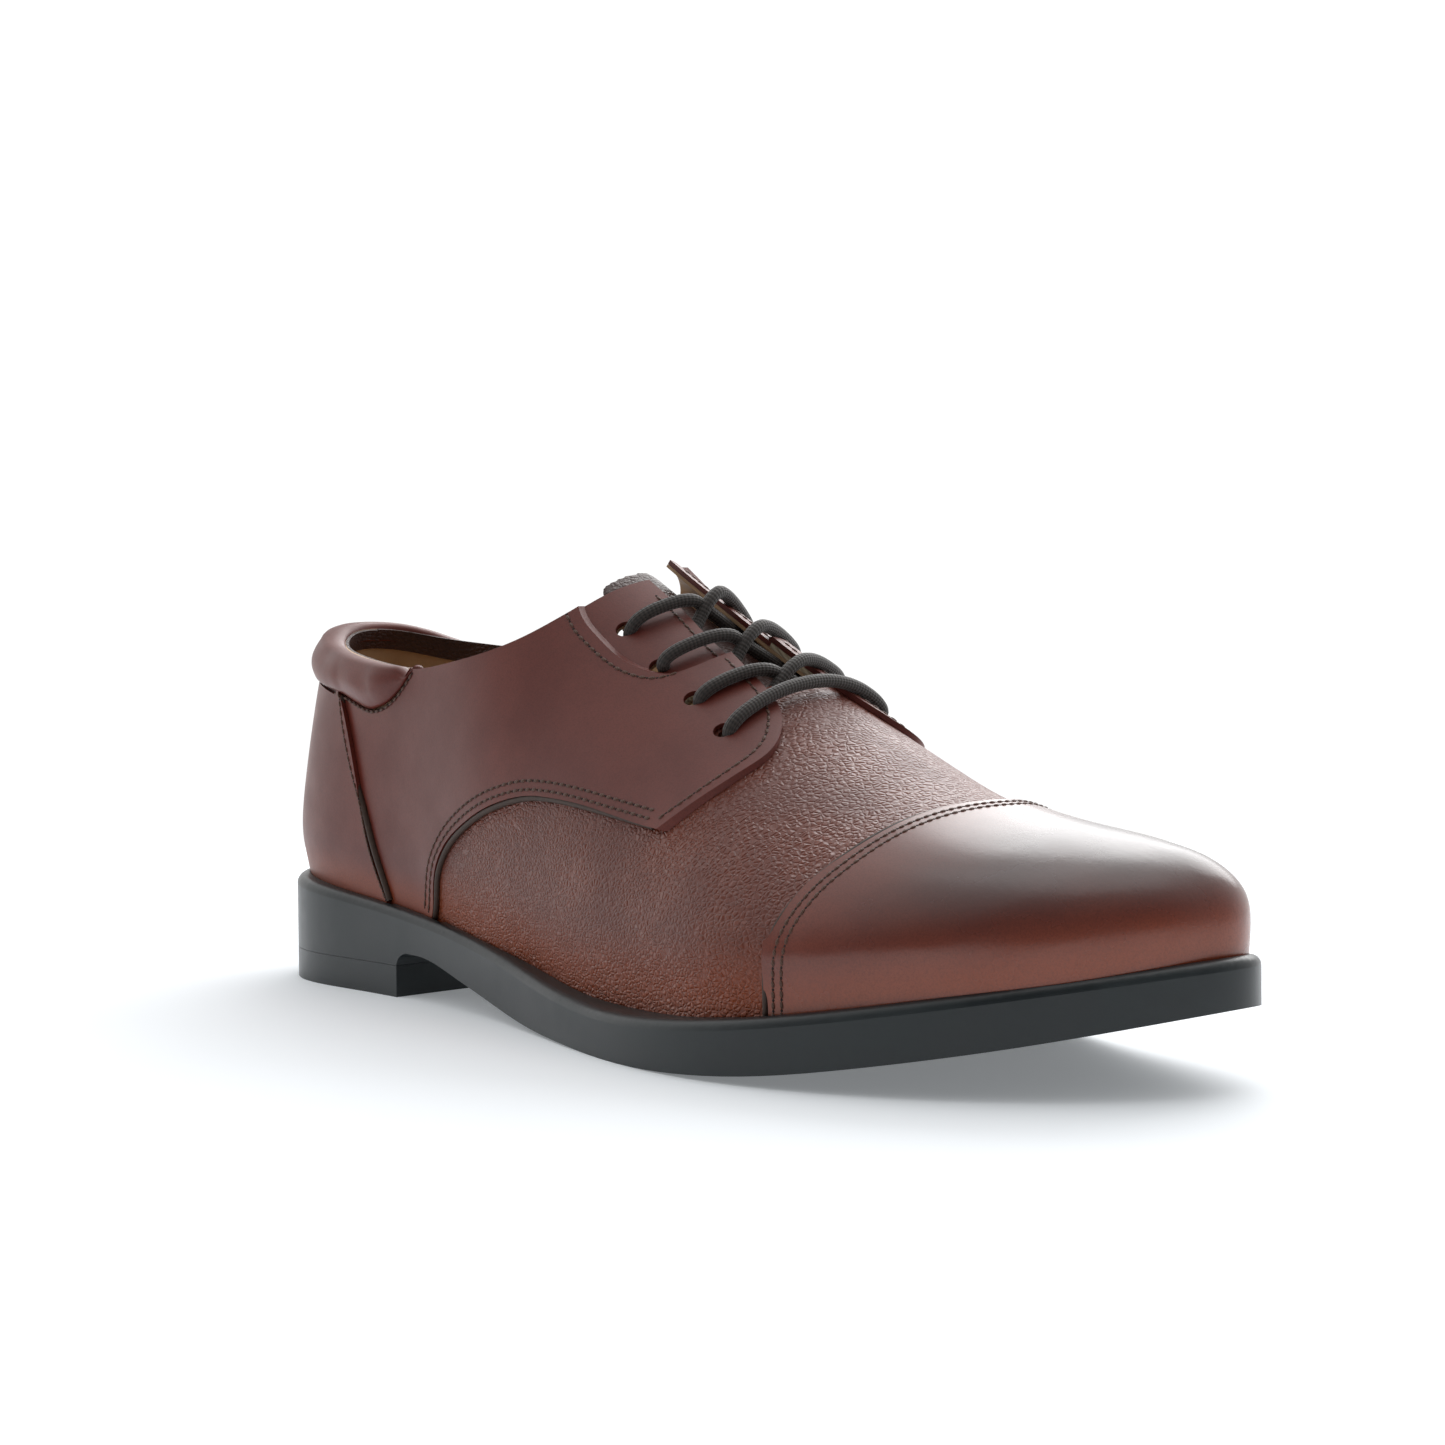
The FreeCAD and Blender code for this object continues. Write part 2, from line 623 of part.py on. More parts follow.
def contour(height, grow):
    """Closed plan line of the upper at a height line, grown by an amount."""
    loop = []
    for side in (-1, 1):
        lo, hi = -2.0, 30.0
        for k in range(40):
            m = (lo + hi) / 2
            lo, hi = (lo, m) if width_at(m, height(m), side) > 0 else (m, hi)
        start = hi
        lo, hi = 250.0, 300.0
        for k in range(40):
            m = (lo + hi) / 2
            lo, hi = (m, hi) if width_at(m, height(m), side) > 0 else (lo, m)
        end = lo
        line = []
        for k in range(301):
            x = start + (end - start) * (1 - math.cos(math.pi * k / 300)) / 2
            line.append((x, crest_shift(x) + side * width_at(x, height(x), side)))
        line[0], line[-1] = (start, crest_shift(start)), (end, crest_shift(end))
        half = spread(line, 31)
        loop += half[:-1] if side < 0 else half[:0:-1]
    moved = []
    for k, p in enumerate(loop):
        a, b = at(*loop[k - 1], 0), at(*loop[(k + 1) % len(loop)], 0)
        t = (b - a).normalize()
        moved.append(at(p[0], p[1], 0) + V(t.y, -t.x, 0) * grow)
    return moved


def plan_prism(loop, z0, z1):
    line = Part.BSplineCurve()
    line.interpolate(Points=[V(p.x, p.y, z0) for p in loop], PeriodicFlag=True)
    return Part.Face(Part.Wire(line.toShape())).extrude(V(0, 0, z1 - z0))


# region on each side of the heel axis
split = get("seam_gap") / 2
side_box = {}
for side in (-1, 1):
    y0, y1 = (-far_out, -split / ky) if side < 0 else (split / ky, far_out)
    side_box[side] = plan_face([("line", [(-20, y0), (320, y0), (320, y1), (-20, y1)])], -50, 240)

top = {-1: raised("topline_outer"), 1: raised("topline_inner")}
throat = {-1: points("throat_outer"), 1: points("throat_inner")}


def below_top(side, drop=0.0, x1=320.0):
    line = [(x, z - drop) for x, z in top[side]]
    return side_face([("line", [(-20, -60), (-20, line[0][1] + 1)]), ("fair", line),
                      ("line", [(line[-1][0] + 4, 220), (x1, 220), (x1, -60)])],
                     -far_out, far_out)


def behind_tab(side, back=0.0):
    """Plan region behind the facing and tab edge, moved back by an amount."""
    line = throat[side]
    moved = []
    for k, p in enumerate(line):
        a, b = line[max(0, k - 1)], line[min(len(line) - 1, k + 1)]
        tx, ty = b[0] - a[0], b[1] - a[1]
        size_t = math.hypot(tx, ty)
        nx, ny = (ty / size_t, -tx / size_t) if side < 0 else (-ty / size_t, tx / size_t)
        moved.append((p[0] + nx * back, p[1] + ny * back))
    start = moved[0]
    end = moved[-1]
    return plan_face([("line", [(-20, side * 88), (-20, side * split / ky),
                                (100, side * split / ky), (start[0] - 14, start[1])]),
                      ("fair", moved), ("line", [(end[0] - 3, side * 88)])], -60, 230)


def above_arc(shift_x=0.0, shift_z=0.0):
    """Side-view region behind and above the quarter arc."""
    line = raised("quarter_arc", shift_x, shift_z)
    return side_face([("line", [(-20, -60), (line[0][0] + 2, -60)]),
                      ("fair", line),
                      ("line", [(line[-1][0] + 30, line[-1][1] - 6), (line[-1][0] + 30, 230), (-20, 230)])],
                     -far_out, far_out)


shapes = {}


def keep(name, shape):
    """Take the cleaned shape of one piece into the list of pieces."""
    if len(shape.Solids) > 1:
        shape = largest(shape)
    elif shape.ShapeType != "Solid":
        shape = shape.Solids[0]
    shapes[name] = shape
    print("%-32s volume %10.1f faces %3d valid %s" % (name, shape.Volume, len(shape.Faces), shape.isValid()))


# slabs of each layer on each part of the surface
gap = get("seam_gap")
tags = {-1: "lateral", 1: "medial"}
lining_wall = {side: walls[side].slab(0.0, lining_out).common(above_floor) for side in (-1, 1)}
middle_wall = {side: walls[side].slab(middle_in, middle_out).common(above_floor) for side in (-1, 1)}
outer_wall = {side: walls[side].slab(outer_in, outer_out).common(above_floor) for side in (-1, 1)}

# lining: heel piece, two quarter linings, vamp lining, toe lining
heel_end = get("heel_lining_end")
keep("heel_lining", heel.slab(0.0, lining_out).common(above_floor).common(slab(-20, heel_end)).common(
    below_top(-1)))
lining_arc = above_arc(-get("lining_seam_back"), get("lining_seam_back") * 0.9)
for side in (-1, 1):
    piece = lining_wall[side].cut(slab(-20, heel_end + gap)).common(below_top(side)).common(behind_tab(side))
    keep("quarter_lining_" + tags[side], piece.common(lining_arc))
throat_back = slab(-20, get("vamp_throat"))
lining_clear = above_arc(-get("lining_seam_back") - gap, get("lining_seam_back") * 0.9 - gap)
toe_seam = get("toe_lining_start")
forward = arches.slab(0.0, lining_out).common(above_floor)
keep("vamp_lining", forward.cut(throat_back.common(lining_clear)).common(slab(60, toe_seam)))
keep("toe_lining", toe.slab(0.0, lining_out).common(above_floor).common(slab(toe_seam + gap, 330)))

# stiffener round the heel, puff in the toe, vamp
stiff_edge = [(68, -60), (66, sole_edge(66) + 8), (60, sole_edge(58) + 26), (50, sole_edge(46) + 38),
              (30, sole_edge(20) + 44), (-20, sole_edge(0) + 46)]
stiff_zone = side_face([("line", [(-20, -60)] + stiff_edge)], -far_out, far_out)
stiff_cut = side_face([("line", [(-20, -60)] + [(x + gap, z + gap) for x, z in stiff_edge])],
                      -far_out, far_out)
keep("heel_stiffener", heel.slab(middle_in, middle_out).common(above_floor).common(stiff_zone))

cap_line = points("cap_edge")
over = get("vamp_overlap")
cap_zone = plan_face([("fair", cap_line), ("line", [(330, 80), (330, -80)])], -60, 120)
puff_zone = plan_face([("fair", [(x + over + gap, y) for x, y in cap_line]),
                       ("line", [(340, 80), (340, -80)])], -60, 120)
vamp_front = plan_face([("fair", [(x + over, y) for x, y in cap_line]),
                        ("line", [(340, 80), (340, -80)])], -60, 120)
keep("toe_puff", toe.slab(middle_in, middle_out).common(above_floor).common(puff_zone))
arc_back = above_arc(-over, over * 0.8)
vamp_back = arc_back.common(throat_back)
keep("vamp", arches.slab(middle_in, middle_out).common(above_floor).cut(vamp_front).cut(vamp_back))
keep("toe_cap", toe.slab(outer_in, outer_out).common(above_floor).common(cap_zone))

# quarters, inserts, facing strips and backings
insert_line = raised("insert_edge")
insert_low = [(x - get("insert_overlap") * 0.55, z - get("insert_overlap") * 0.85) for x, z in insert_line]


def insert_zone(side, line, lift=0.0):
    """Side-view region of the eyestay insert, the same drawing on both sides."""
    rise = [(x, z + lift) for x, z in line]
    return side_face([("line", [(rise[0][0] - 22, 230), (rise[0][0] - 12, rise[0][1] + 14)]),
                      ("fair", rise),
                      ("line", [(rise[-1][0] + 8, rise[-1][1] + 12), (rise[-1][0] + 8, 230)])],
                     -far_out, far_out)


lift = {-1: 0.0, 1: 7.0}
collar_line = raised("collar_edge")
collar_zone = side_face([("fair", [(-20, collar_line[0][1])] + collar_line),
                         ("line", [(collar_line[-1][0] + 1.0, 230), (-20, 230)])], -far_out, far_out)
collar_clear = side_face([("fair", [(-20 + gap, collar_line[0][1] - gap)] +
                           [(x + gap, z - gap) for x, z in collar_line]),
                          ("line", [(collar_line[-1][0] + 1.0 + gap, 230), (-20, 230)])],
                         -far_out, far_out)

eyelets = {}


def top_height(x, y):
    """Height of the last above a plan position."""
    lo, hi = last_bottom(x) + 5, crest(x) + 6
    for k in range(44):
        m = (lo + hi) / 2
        lo, hi = (m, hi) if inside(x, y, m) else (lo, m)
    return lo


def ground_point(x, y):
    """Point and outward direction of the last surface above a plan position."""
    h = 0.4
    a = at(x + h, y, top_height(x + h, y)) - at(x - h, y, top_height(x - h, y))
    b = at(x, y + h, top_height(x, y + h)) - at(x, y - h, top_height(x, y - h))
    return at(x, y, top_height(x, y)), a.cross(b).normalize()


for side, name in ((-1, "eyelet_outer"), (1, "eyelet_inner")):
    eyelets[side] = [ground_point(x, y) for x, y in points(name)]
hole_radius = get("eyelet_diameter") / 2
holes = {side: [Part.makeCylinder(hole_radius, 16, p - n * 6, n) for p, n in eyelets[side]]
         for side in (-1, 1)}


def punched(shape, side):
    for hole in holes[side]:
        shape = shape.cut(hole)
    return shape


strip = get("facing_strip_width")
vamp_edge = slab(get("vamp_throat") - gap, 330)
for side in (-1, 1):
    tag = tags[side]
    limit = below_top(side)
    tab = behind_tab(side)
    quarter = outer_wall[side].common(limit).common(tab).common(above_arc())
    quarter = quarter.cut(insert_zone(side, insert_line, lift[side])).cut(collar_clear)
    keep("quarter_" + tag, punched(quarter, side))
    region = middle_wall[side].common(limit).common(tab).common(arc_back)
    region = region.cut(vamp_edge).cut(stiff_cut).cut(collar_clear)
    insert = region.common(insert_zone(side, insert_low, lift[side]))
    keep("eyestay_insert_" + tag, punched(insert, side))
    rest = region.cut(insert_zone(side, [(x - gap, z - gap) for x, z in insert_low], lift[side]))
    edge_y = throat[side][0][1] + side * strip
    strip_zone = plan_face([("line", [(118, 0), (118, edge_y), (200, edge_y), (200, 0)])], 50, 230)
    strip_clear = plan_face([("line", [(118 - gap, 0), (118 - gap, edge_y + side * gap),
                                       (200, edge_y + side * gap), (200, 0)])], 50, 230)
    keep("facing_strip_" + tag, punched(rest.common(strip_zone), side))
    keep("quarter_backing_" + tag, rest.cut(strip_clear))
    shapes["quarter_lining_" + tag] = punched(shapes["quarter_lining_" + tag], side)

# heel counter cover, down into the sole cup
counter_line = raised("counter_edge")
cover_zone = side_face([("line", [(-20, sole_edge(0) - 20), (counter_line[0][0], sole_edge(60) - 20)]),
                        ("fair", counter_line),
                        ("line", [(counter_line[-1][0] - 0.5, collar_line[2][1] - gap * 2),
                                  (20, collar_line[1][1] - gap * 2), (-20, collar_line[0][1] - gap * 2)])],
                       -far_out, far_out)
keep("heel_counter_cover", heel.slab(cover_in, cover_out).common(above_floor).common(cover_zone))

# padded collar: foam roll under its own leather
bulge = get("collar_bulge")
cover_leather = get("collar_cover_thickness")
collar_floor = fair([p[0] for p in collar_line], [p[1] for p in collar_line])
collar_roof = fair([p[0] for p in top[-1][:9]], [p[1] for p in top[-1][:9]])


def roll(p):
    x = (p.x + x_middle) / kx
    x = min(78.0, max(2.0, x))
    low, high = collar_floor(min(73.0, max(6.0, x))), collar_roof(x)
    t = min(1.0, max(0.0, (p.z - low) / max(4.0, high - low)))
    end = min(1.0, max(0.0, (75.0 - x) / 14.0))
    return outer_out + bulge * (4 * t * (1 - t)) ** 0.7 * end


def roll_inside(p):
    return roll(p) - cover_leather


def roll_foam(p):
    return roll(p) - cover_leather - get("cement_gap")


keep("collar_cover", heel.slab(roll_inside, roll).common(collar_zone).common(below_top(-1)))
keep("collar_foam", heel.slab(middle_in, roll_foam).common(collar_zone).common(below_top(-1, get("collar_foam_drop"))))

# binding inside the mouth
binding_in = -get("cement_gap") - get("binding_thickness")
halves = []
for side in (-1, 1):
    above = side_face([("line", [(-20, 240), (-20, top[side][0][1] + 1 - get("binding_height"))]),
                       ("fair", [(x, z - get("binding_height")) for x, z in top[side]]),
                       ("line", [(320, 240)])], -far_out, far_out)
    halves.append(walls[side].slab(binding_in, -get("cement_gap")).common(below_top(side)).common(above).common(
        slab(-20, 120)))
keep("topline_binding_lateral", halves[0])
keep("topline_binding_medial", halves[1])

# ---------------------------------------------------------------- bottom
tip = get("tip_shift")
so = dict(zip(*stations("sole_half_outer")))
si = dict(zip(*stations("sole_half_inner")))
plan = [(0, 0), (5, -18), (20, -0.91 * so[48]), (48, -so[48]), (110, -so[110]), (155, -so[155]),
        (205, -so[205]), (248, -so[248]), (282, -0.6 * so[248] + 0.4 * tip),
        (296, -0.28 * so[248] + 0.7 * tip), (300, tip), (296, 0.3 * si[248] + 0.7 * tip),
        (280, 0.64 * si[248] + 0.4 * tip), (248, si[248]), (205, si[205]), (155, si[155]),
        (110, si[110]), (48, si[48]), (20, 0.91 * si[48]), (5, 18)]


def sole_plan(z0, z1):
    line = Part.BSplineCurve()
    line.interpolate(Points=[at(x, y, z0) for x, y in plan], PeriodicFlag=True)
    return Part.Face(Part.Wire(line.toShape())).extrude(V(0, 0, z1 - z0))


breast = get("heel_block_length")
top_piece = get("top_piece_thickness")
joint = top_piece + get("top_piece_gap")
bend = get("breast_corner")
tread_line = heights(tread, breast + bend, 300, 24)
block = side_face([
    ("line", [(-10, joint), (breast - 1.5, joint)]),
    ("fair", [(breast - 1.5, joint), (breast - 0.6, tread(breast + bend) - 1.6),
              (breast + 1.5, tread(breast + bend) - 0.3), (breast + bend, tread(breast + bend))]),
    ("fair", tread_line),
    ("line", [(310, tread(300) + 2.2)]),
    ("fair", heights(sole_edge, -10, 310)[::-1])], -far_out, far_out)
sole = sole_plan(-5, 60).common(block)


def rounded(shape, radius, low, high):
    """Round the long edges whose middle lies between two height functions."""
    chosen = []
    for edge in shape.Edges:
        mid = edge.valueAt((edge.FirstParameter + edge.LastParameter) / 2)
        x = (mid.x + x_middle) / kx
        if low(x) < mid.z < high(x) and edge.Length > 40:
            chosen.append(edge)
    result = shape.makeFillet(radius, chosen)
    return result if result.isValid() and result.Volume > 0 else shape


sole = rounded(largest(sole), get("sole_lip_round"), lambda x: sole_edge(x) - 1, lambda x: sole_edge(x) + 1)
sole_clear = get("sole_gap")


def cup_floor(x):
    return edge_floor(x) - sole_clear


def low_line(x):
    return sole_edge(x) - 0.3


in_cup = band(cup_floor, lambda x: 90)
cup = plan_prism(contour(low_line, middle_out + sole_clear), -60, 90)
wide = plan_prism(contour(low_line, outer_out + sole_clear), -60, 90)
widest_cup = plan_prism(contour(low_line, cover_out + sole_clear), -60, 90)
cup = cup.fuse(wide.common(slab(-20, 86.5).fuse(slab(217, 330)))).fuse(widest_cup.common(slab(-20, 62.5)))
sole = sole.cut(cup.common(in_cup))
pocket = plan_prism(contour(low_line, -get("filler_inset")), -60, 90)
depth_of_pocket = get("filler_depth")
sole = sole.cut(pocket.common(band(lambda x: cup_floor(x) - depth_of_pocket, lambda x: 90)).common(
    slab(-20, get("filler_end"))))
keep("outsole", sole)

heel_cut = side_face([("line", [(-10, 0), (breast - 1.5, 0), (breast - 1.5, top_piece), (-10, top_piece)])],
                     -far_out, far_out)
keep("heel_top_piece", sole_plan(-5, 60).common(heel_cut))

cement = get("cement_gap")


def board_top(x):
    return edge_floor(x) + get("board_thickness")


keep("insole_board", plan_prism(contour(low_line, -sole_clear), -60, 90).common(band(edge_floor, board_top)))
pad = get("heel_pad_thickness")
pad_end, taper = get("heel_pad_length"), get("heel_pad_taper")


def sock_under(x):
    t = min(1.0, max(0.0, (pad_end + 12 - x) / taper))
    return board_top(x) + cement + (pad + cement) * t * t * (3 - 2 * t)


sock_plan = plan_prism(contour(lambda x: sole_edge(x) + 1, -get("sock_inset")), -60, 90)
keep("sock_liner", sock_plan.common(band(sock_under, lambda x: sock_under(x) + get("sock_thickness"))))
keep("heel_pad", sock_plan.common(slab(-20, pad_end)).common(
    band(lambda x: board_top(x) + cement, lambda x: sock_under(x) - cement, -20, 92)))


def strip_plan(grow):
    w = get("shank_width") / 2 + grow
    a, b = get("shank_start") - grow, get("shank_end") + grow
    return [("line", [(a, -w + 1), (b - 8, -w - 2.4), (b, -w + 5), (b, w - 7), (b - 8, w - 4.6), (a, w + 1)])]


def shank_top(x):
    return edge_floor(x) - get("shank_depth")


keep("shank", plan_face(strip_plan(0.0), -60, 90).common(
    band(lambda x: shank_top(x) - get("shank_thickness"), shank_top)))
fill = plan_prism(contour(low_line, -get("filler_inset") - get("filler_gap")), -60, 90).common(
    band(lambda x: cup_floor(x) - depth_of_pocket + sole_clear, lambda x: edge_floor(x) - cement)).common(
    slab(-20, get("filler_end") - get("filler_gap")))
keep("bottom_filler", fill.cut(plan_face(strip_plan(0.15), -60, 90).common(
    band(lambda x: shank_top(x) - get("shank_thickness") - 0.1, lambda x: edge_floor(x) + 9))))

# ---------------------------------------------------------------- tongue
def tongue_layer(depth, thickness, inset):
    """Layer under the facings, free at its upper end."""
    rows = []
    a, b = get("tongue_root") - inset, get("tongue_tip") + inset
    for k in range(13):
        t = k / 12
        x = a + (b - a) * t
        y0 = get("tongue_root_outer") * (1 - t) + get("tongue_tip_outer") * t + inset
        y1 = get("tongue_root_inner") * (1 - t) + get("tongue_tip_inner") * t - inset
        ease = max(0.0, (t - 0.75) / 0.25) ** 3 * 5
        rows.append([at(x, q, top_height(x, q)) for q in
                     [y0 + ease + (y1 - y0 - 2 * ease) * j / 10 for j in range(11)]])
    return Patch(rows, (150, 5, 20)).slab(-depth - thickness, -depth)


depth = get("tongue_depth")
keep("tongue_leather", tongue_layer(depth, get("tongue_leather_thickness"), 0.0))
depth += get("tongue_leather_thickness") + cement
keep("tongue_foam", tongue_layer(depth, get("tongue_foam_thickness"), 3.0))
depth += get("tongue_foam_thickness") + cement
keep("tongue_lining", tongue_layer(depth, get("tongue_lining_thickness"), 0.8))

# ---------------------------------------------------------------- lace
lace_radius = get("lace_diameter") / 2
clear = get("lace_clearance")
over_d = outer_out + lace_radius + clear
under_d = -lace_radius - clear


def lift_point(x, y, d):
    p, n = ground_point(x, y)
    return p + n * d


def throat_at(side, x):
    line = [q for k, q in enumerate(throat[side]) if k == 0 or q[0] > max(p[0] for p in throat[side][:k])]
    if x <= line[0][0]:
        return line[0][1]
    for k in range(len(line) - 1):
        if line[k][0] <= x <= line[k + 1][0] and line[k + 1][0] > line[k][0]:
            f = (x - line[k][0]) / (line[k + 1][0] - line[k][0])
            return line[k][1] + f * (line[k + 1][1] - line[k][1])
    return line[-1][1]


eye_xy = {-1: points("eyelet_outer"), 1: points("eyelet_inner")}
edge_clear = get("lace_edge_clear")


def strand(start_side, i, end_side, j, mid):
    """From under one facing, up through the throat, over the other facing."""
    (xa, ya), (xb_, yb) = eye_xy[start_side][i], eye_xy[end_side][j]
    def on(y):
        return xa + (xb_ - xa) * (y - ya) / (yb - ya)
    e0 = throat_at(start_side, xa - 3) - start_side * edge_clear
    e1 = throat_at(end_side, xb_ + 3) - end_side * edge_clear
    m = (e0 + e1) / 2
    return [lift_point(on(e0), e0, under_d), lift_point(on(m), m, mid), lift_point(on(e1), e1, over_d + 0.1)]


high, low = get("lace_cross_high"), get("lace_cross_low")


def hole(side, i, inward):
    p, n = eyelets[side][i]
    a, b = p + n * over_d, p + n * under_d
    return [a, b] if inward else [b, a]


bar = []
for side in (1, -1):
    x = eye_xy[side][0][0]
    bar.append(lift_point(x, throat_at(side, x) - side * edge_clear, over_d + 0.1))
path = []
path += hole(-1, 3, False)
path += strand(1, 2, -1, 3, low)[::-1]
path += hole(1, 2, False)
path += strand(-1, 1, 1, 2, high)[::-1]
path += hole(-1, 1, False)
path += strand(1, 0, -1, 1, low)[::-1]
path += hole(1, 0, False)
path += bar
path += hole(-1, 0, True)
path += strand(-1, 0, 1, 1, high)
path += hole(1, 1, True)
path += strand(1, 1, -1, 2, low)
path += hole(-1, 2, True)
path += strand(-1, 2, 1, 3, high)
path += hole(1, 3, True)


def tube(name, pts, radius):
    """Round cord: straight runs joined by arcs tangent to them."""
    edges, start = [], pts[0]
    least, length = 1e9, 0.0
    for k in range(1, len(pts) - 1):
        a, b, c = pts[k - 1], pts[k], pts[k + 1]
        u, w = (a - b), (c - b)
        la, lc = u.Length, w.Length
        u.normalize()
        w.normalize()
        turn = math.pi - u.getAngle(w)
        if turn < 0.01:
            continue
        reach = 0.45 * min(la, lc)
        r = reach / math.tan(turn / 2)
        if r > 40:
            r = 40.0
            reach = r * math.tan(turn / 2)
        least = min(least, r)
        p, q = b + u * reach, b + w * reach
        mid_dir = (u + w).normalize()
        centre = b + mid_dir * (r / math.cos(turn / 2))
        m = centre - mid_dir * r
        if (p - start).Length > 1e-4:
            edges.append(Part.makeLine(start, p))
        edges.append(Part.Arc(p, m, q).toShape())
        start = q
    edges.append(Part.makeLine(start, pts[-1]))
    wire = Part.Wire(edges)
    length = wire.Length
    direction = (pts[1] - pts[0]).normalize()
    profile = Part.Wire(Part.makeCircle(radius, pts[0], direction))
    solid = wire.makePipeShell([profile], True, False, 2)
    print("%-32s least bend %.2f length %.1f volume ratio %.4f"
          % (name, least, length, solid.Volume / (math.pi * radius ** 2 * length)))
    return solid


keep("lace", tube("lace", path, lace_radius))


def floor_point(x, side, inset):
    """Centre of a lace lying on the sock liner near one wall."""
    c = profiles(x)
    z = sock_under(x) + get("sock_thickness") + lace_radius + get("aglet_wall") + 0.4
    w = half_width(x, z, side, c) - inset
    return at(x, crest_shift(x) + side * w, z)


def wall_point(x, z, side, inset):
    c = profiles(x)
    return at(x, crest_shift(x) + side * (half_width(x, z, side, c) - inset), z)


for side, tag in ((-1, "lateral"), (1, "medial")):
    p, n = eyelets[side][3]
    x, y = eye_xy[side][3]
    bottom = p + n * under_d
    joint_gap = 0.15
    second = wall_point(x - 6, crest(x) - 17, side, 3.2)
    run = [bottom + (second - bottom).normalize() * (lace_radius + joint_gap + 0.1), second]
    run += [wall_point(x - 15, crest(x) - 26, side, 3.4), wall_point(x - 24, crest(x) - 46, side, 4.5),
            floor_point(x - 38, side, 6.5), floor_point(x - 62, side, 5.5)]
    end_dir = (run[-1] - run[-2]).normalize()
    keep("lace_end_" + tag, tube("lace_end_" + tag, run, lace_radius))
    wall = get("aglet_wall")
    length = get("aglet_length")
    tip_start = run[-1] - end_dir * (length - 0.5)
    outer_r = lace_radius + get("aglet_gap") + wall
    cyl = doc.addObject("Part::Cylinder", "sheath_%s" % tag)
    cyl.setExpression("Radius", "Sizes.lace_diameter / 2 + Sizes.aglet_gap + Sizes.aglet_wall")
    cyl.setExpression("Height", "Sizes.aglet_length")
    bore = doc.addObject("Part::Cylinder", "bore_%s" % tag)
    bore.setExpression("Radius", "Sizes.lace_diameter / 2 + Sizes.aglet_gap")
    bore.setExpression("Height", "Sizes.aglet_length - 0.4")
    cut = doc.addObject("Part::Cut", "aglet_%s" % tag)
    cut.Base, cut.Tool = cyl, bore
    cut.Placement = FreeCAD.Placement(tip_start, FreeCAD.Rotation(V(0, 0, 1), end_dir))
    cut.Label = "aglet_" + tag
    shapes["aglet_" + tag] = cut

# ---------------------------------------------------------------- pressed contacts
# Where two pieces press on each other, the first gives way to the second.
doc.recompute()
contacts = [("vamp", "lace"), ("vamp_lining", "lace"), ("lace", "quarter_lateral"), ("lace", "quarter_medial"),
            ("lace", "quarter_lining_medial"), ("lace", "eyestay_insert_medial"), ("lace", "tongue_leather"),
            ("lace_end_lateral", "aglet_lateral"), ("lace_end_medial", "aglet_medial"),
            ("collar_cover", "heel_counter_cover"), ("facing_strip_lateral", "eyestay_insert_lateral"),
            ("facing_strip_medial", "eyestay_insert_medial"), ("insole_board", "vamp_lining"),
            ("insole_board", "toe_lining")]
for giving, firm in contacts:
    tool = shapes[firm].Shape if firm.startswith("aglet") else shapes[firm]
    shape = shapes[giving].cut(tool)
    if firm == "tongue_leather":
        raised_tool = tool.copy()
        raised_tool.translate(V(0, 0, gap))
        shape = shape.cut(raised_tool)
    keep(giving, shape)

# ---------------------------------------------------------------- pieces
doc.recompute()
problems = []
for name in sorted(shapes):
    shape = shapes[name]
    if name.startswith("aglet"):
        piece = shape
    else:
        piece = doc.addObject("Part::Feature", name)
        centre = shape.BoundBox.Center
        home = V(round(centre.x), round(centre.y), round(centre.z))
        move = FreeCAD.Matrix()
        move.move(home * -1)
        piece.Shape = shape.copy().transformShape(move, True)
        piece.Placement = FreeCAD.Placement(home, FreeCAD.Rotation())
        piece.Label = name
    shapes[name] = piece
doc.recompute()
for obj in doc.Objects:
    if "Invalid" in obj.State or "Error" in obj.State:
        problems.append(obj.Label + " " + str(obj.State))
for name, piece in shapes.items():
    if piece.Shape.isNull() or not piece.Shape.isValid():
        problems.append(name + " shape")
if problems:
    raise SystemExit("broken: " + ", ".join(problems))
for name in sorted(shapes):
    shapes[name].Shape.exportStep("parts/%s.step" % name)
whole = Part.makeCompound([p.Shape for p in shapes.values()]).optimalBoundingBox(False)
print("%d pieces, %.1f x %.1f x %.1f, x %.2f..%.2f y %.2f..%.2f z %.2f" % (
    len(shapes), whole.XLength, whole.YLength, whole.ZLength, whole.XMin, whole.XMax,
    whole.YMin, whole.YMax, whole.ZMin))
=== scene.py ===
import math

import bmesh
import bpy
import numpy as np
from mathutils import Matrix, Vector, noise
from mathutils.bvhtree import BVHTree


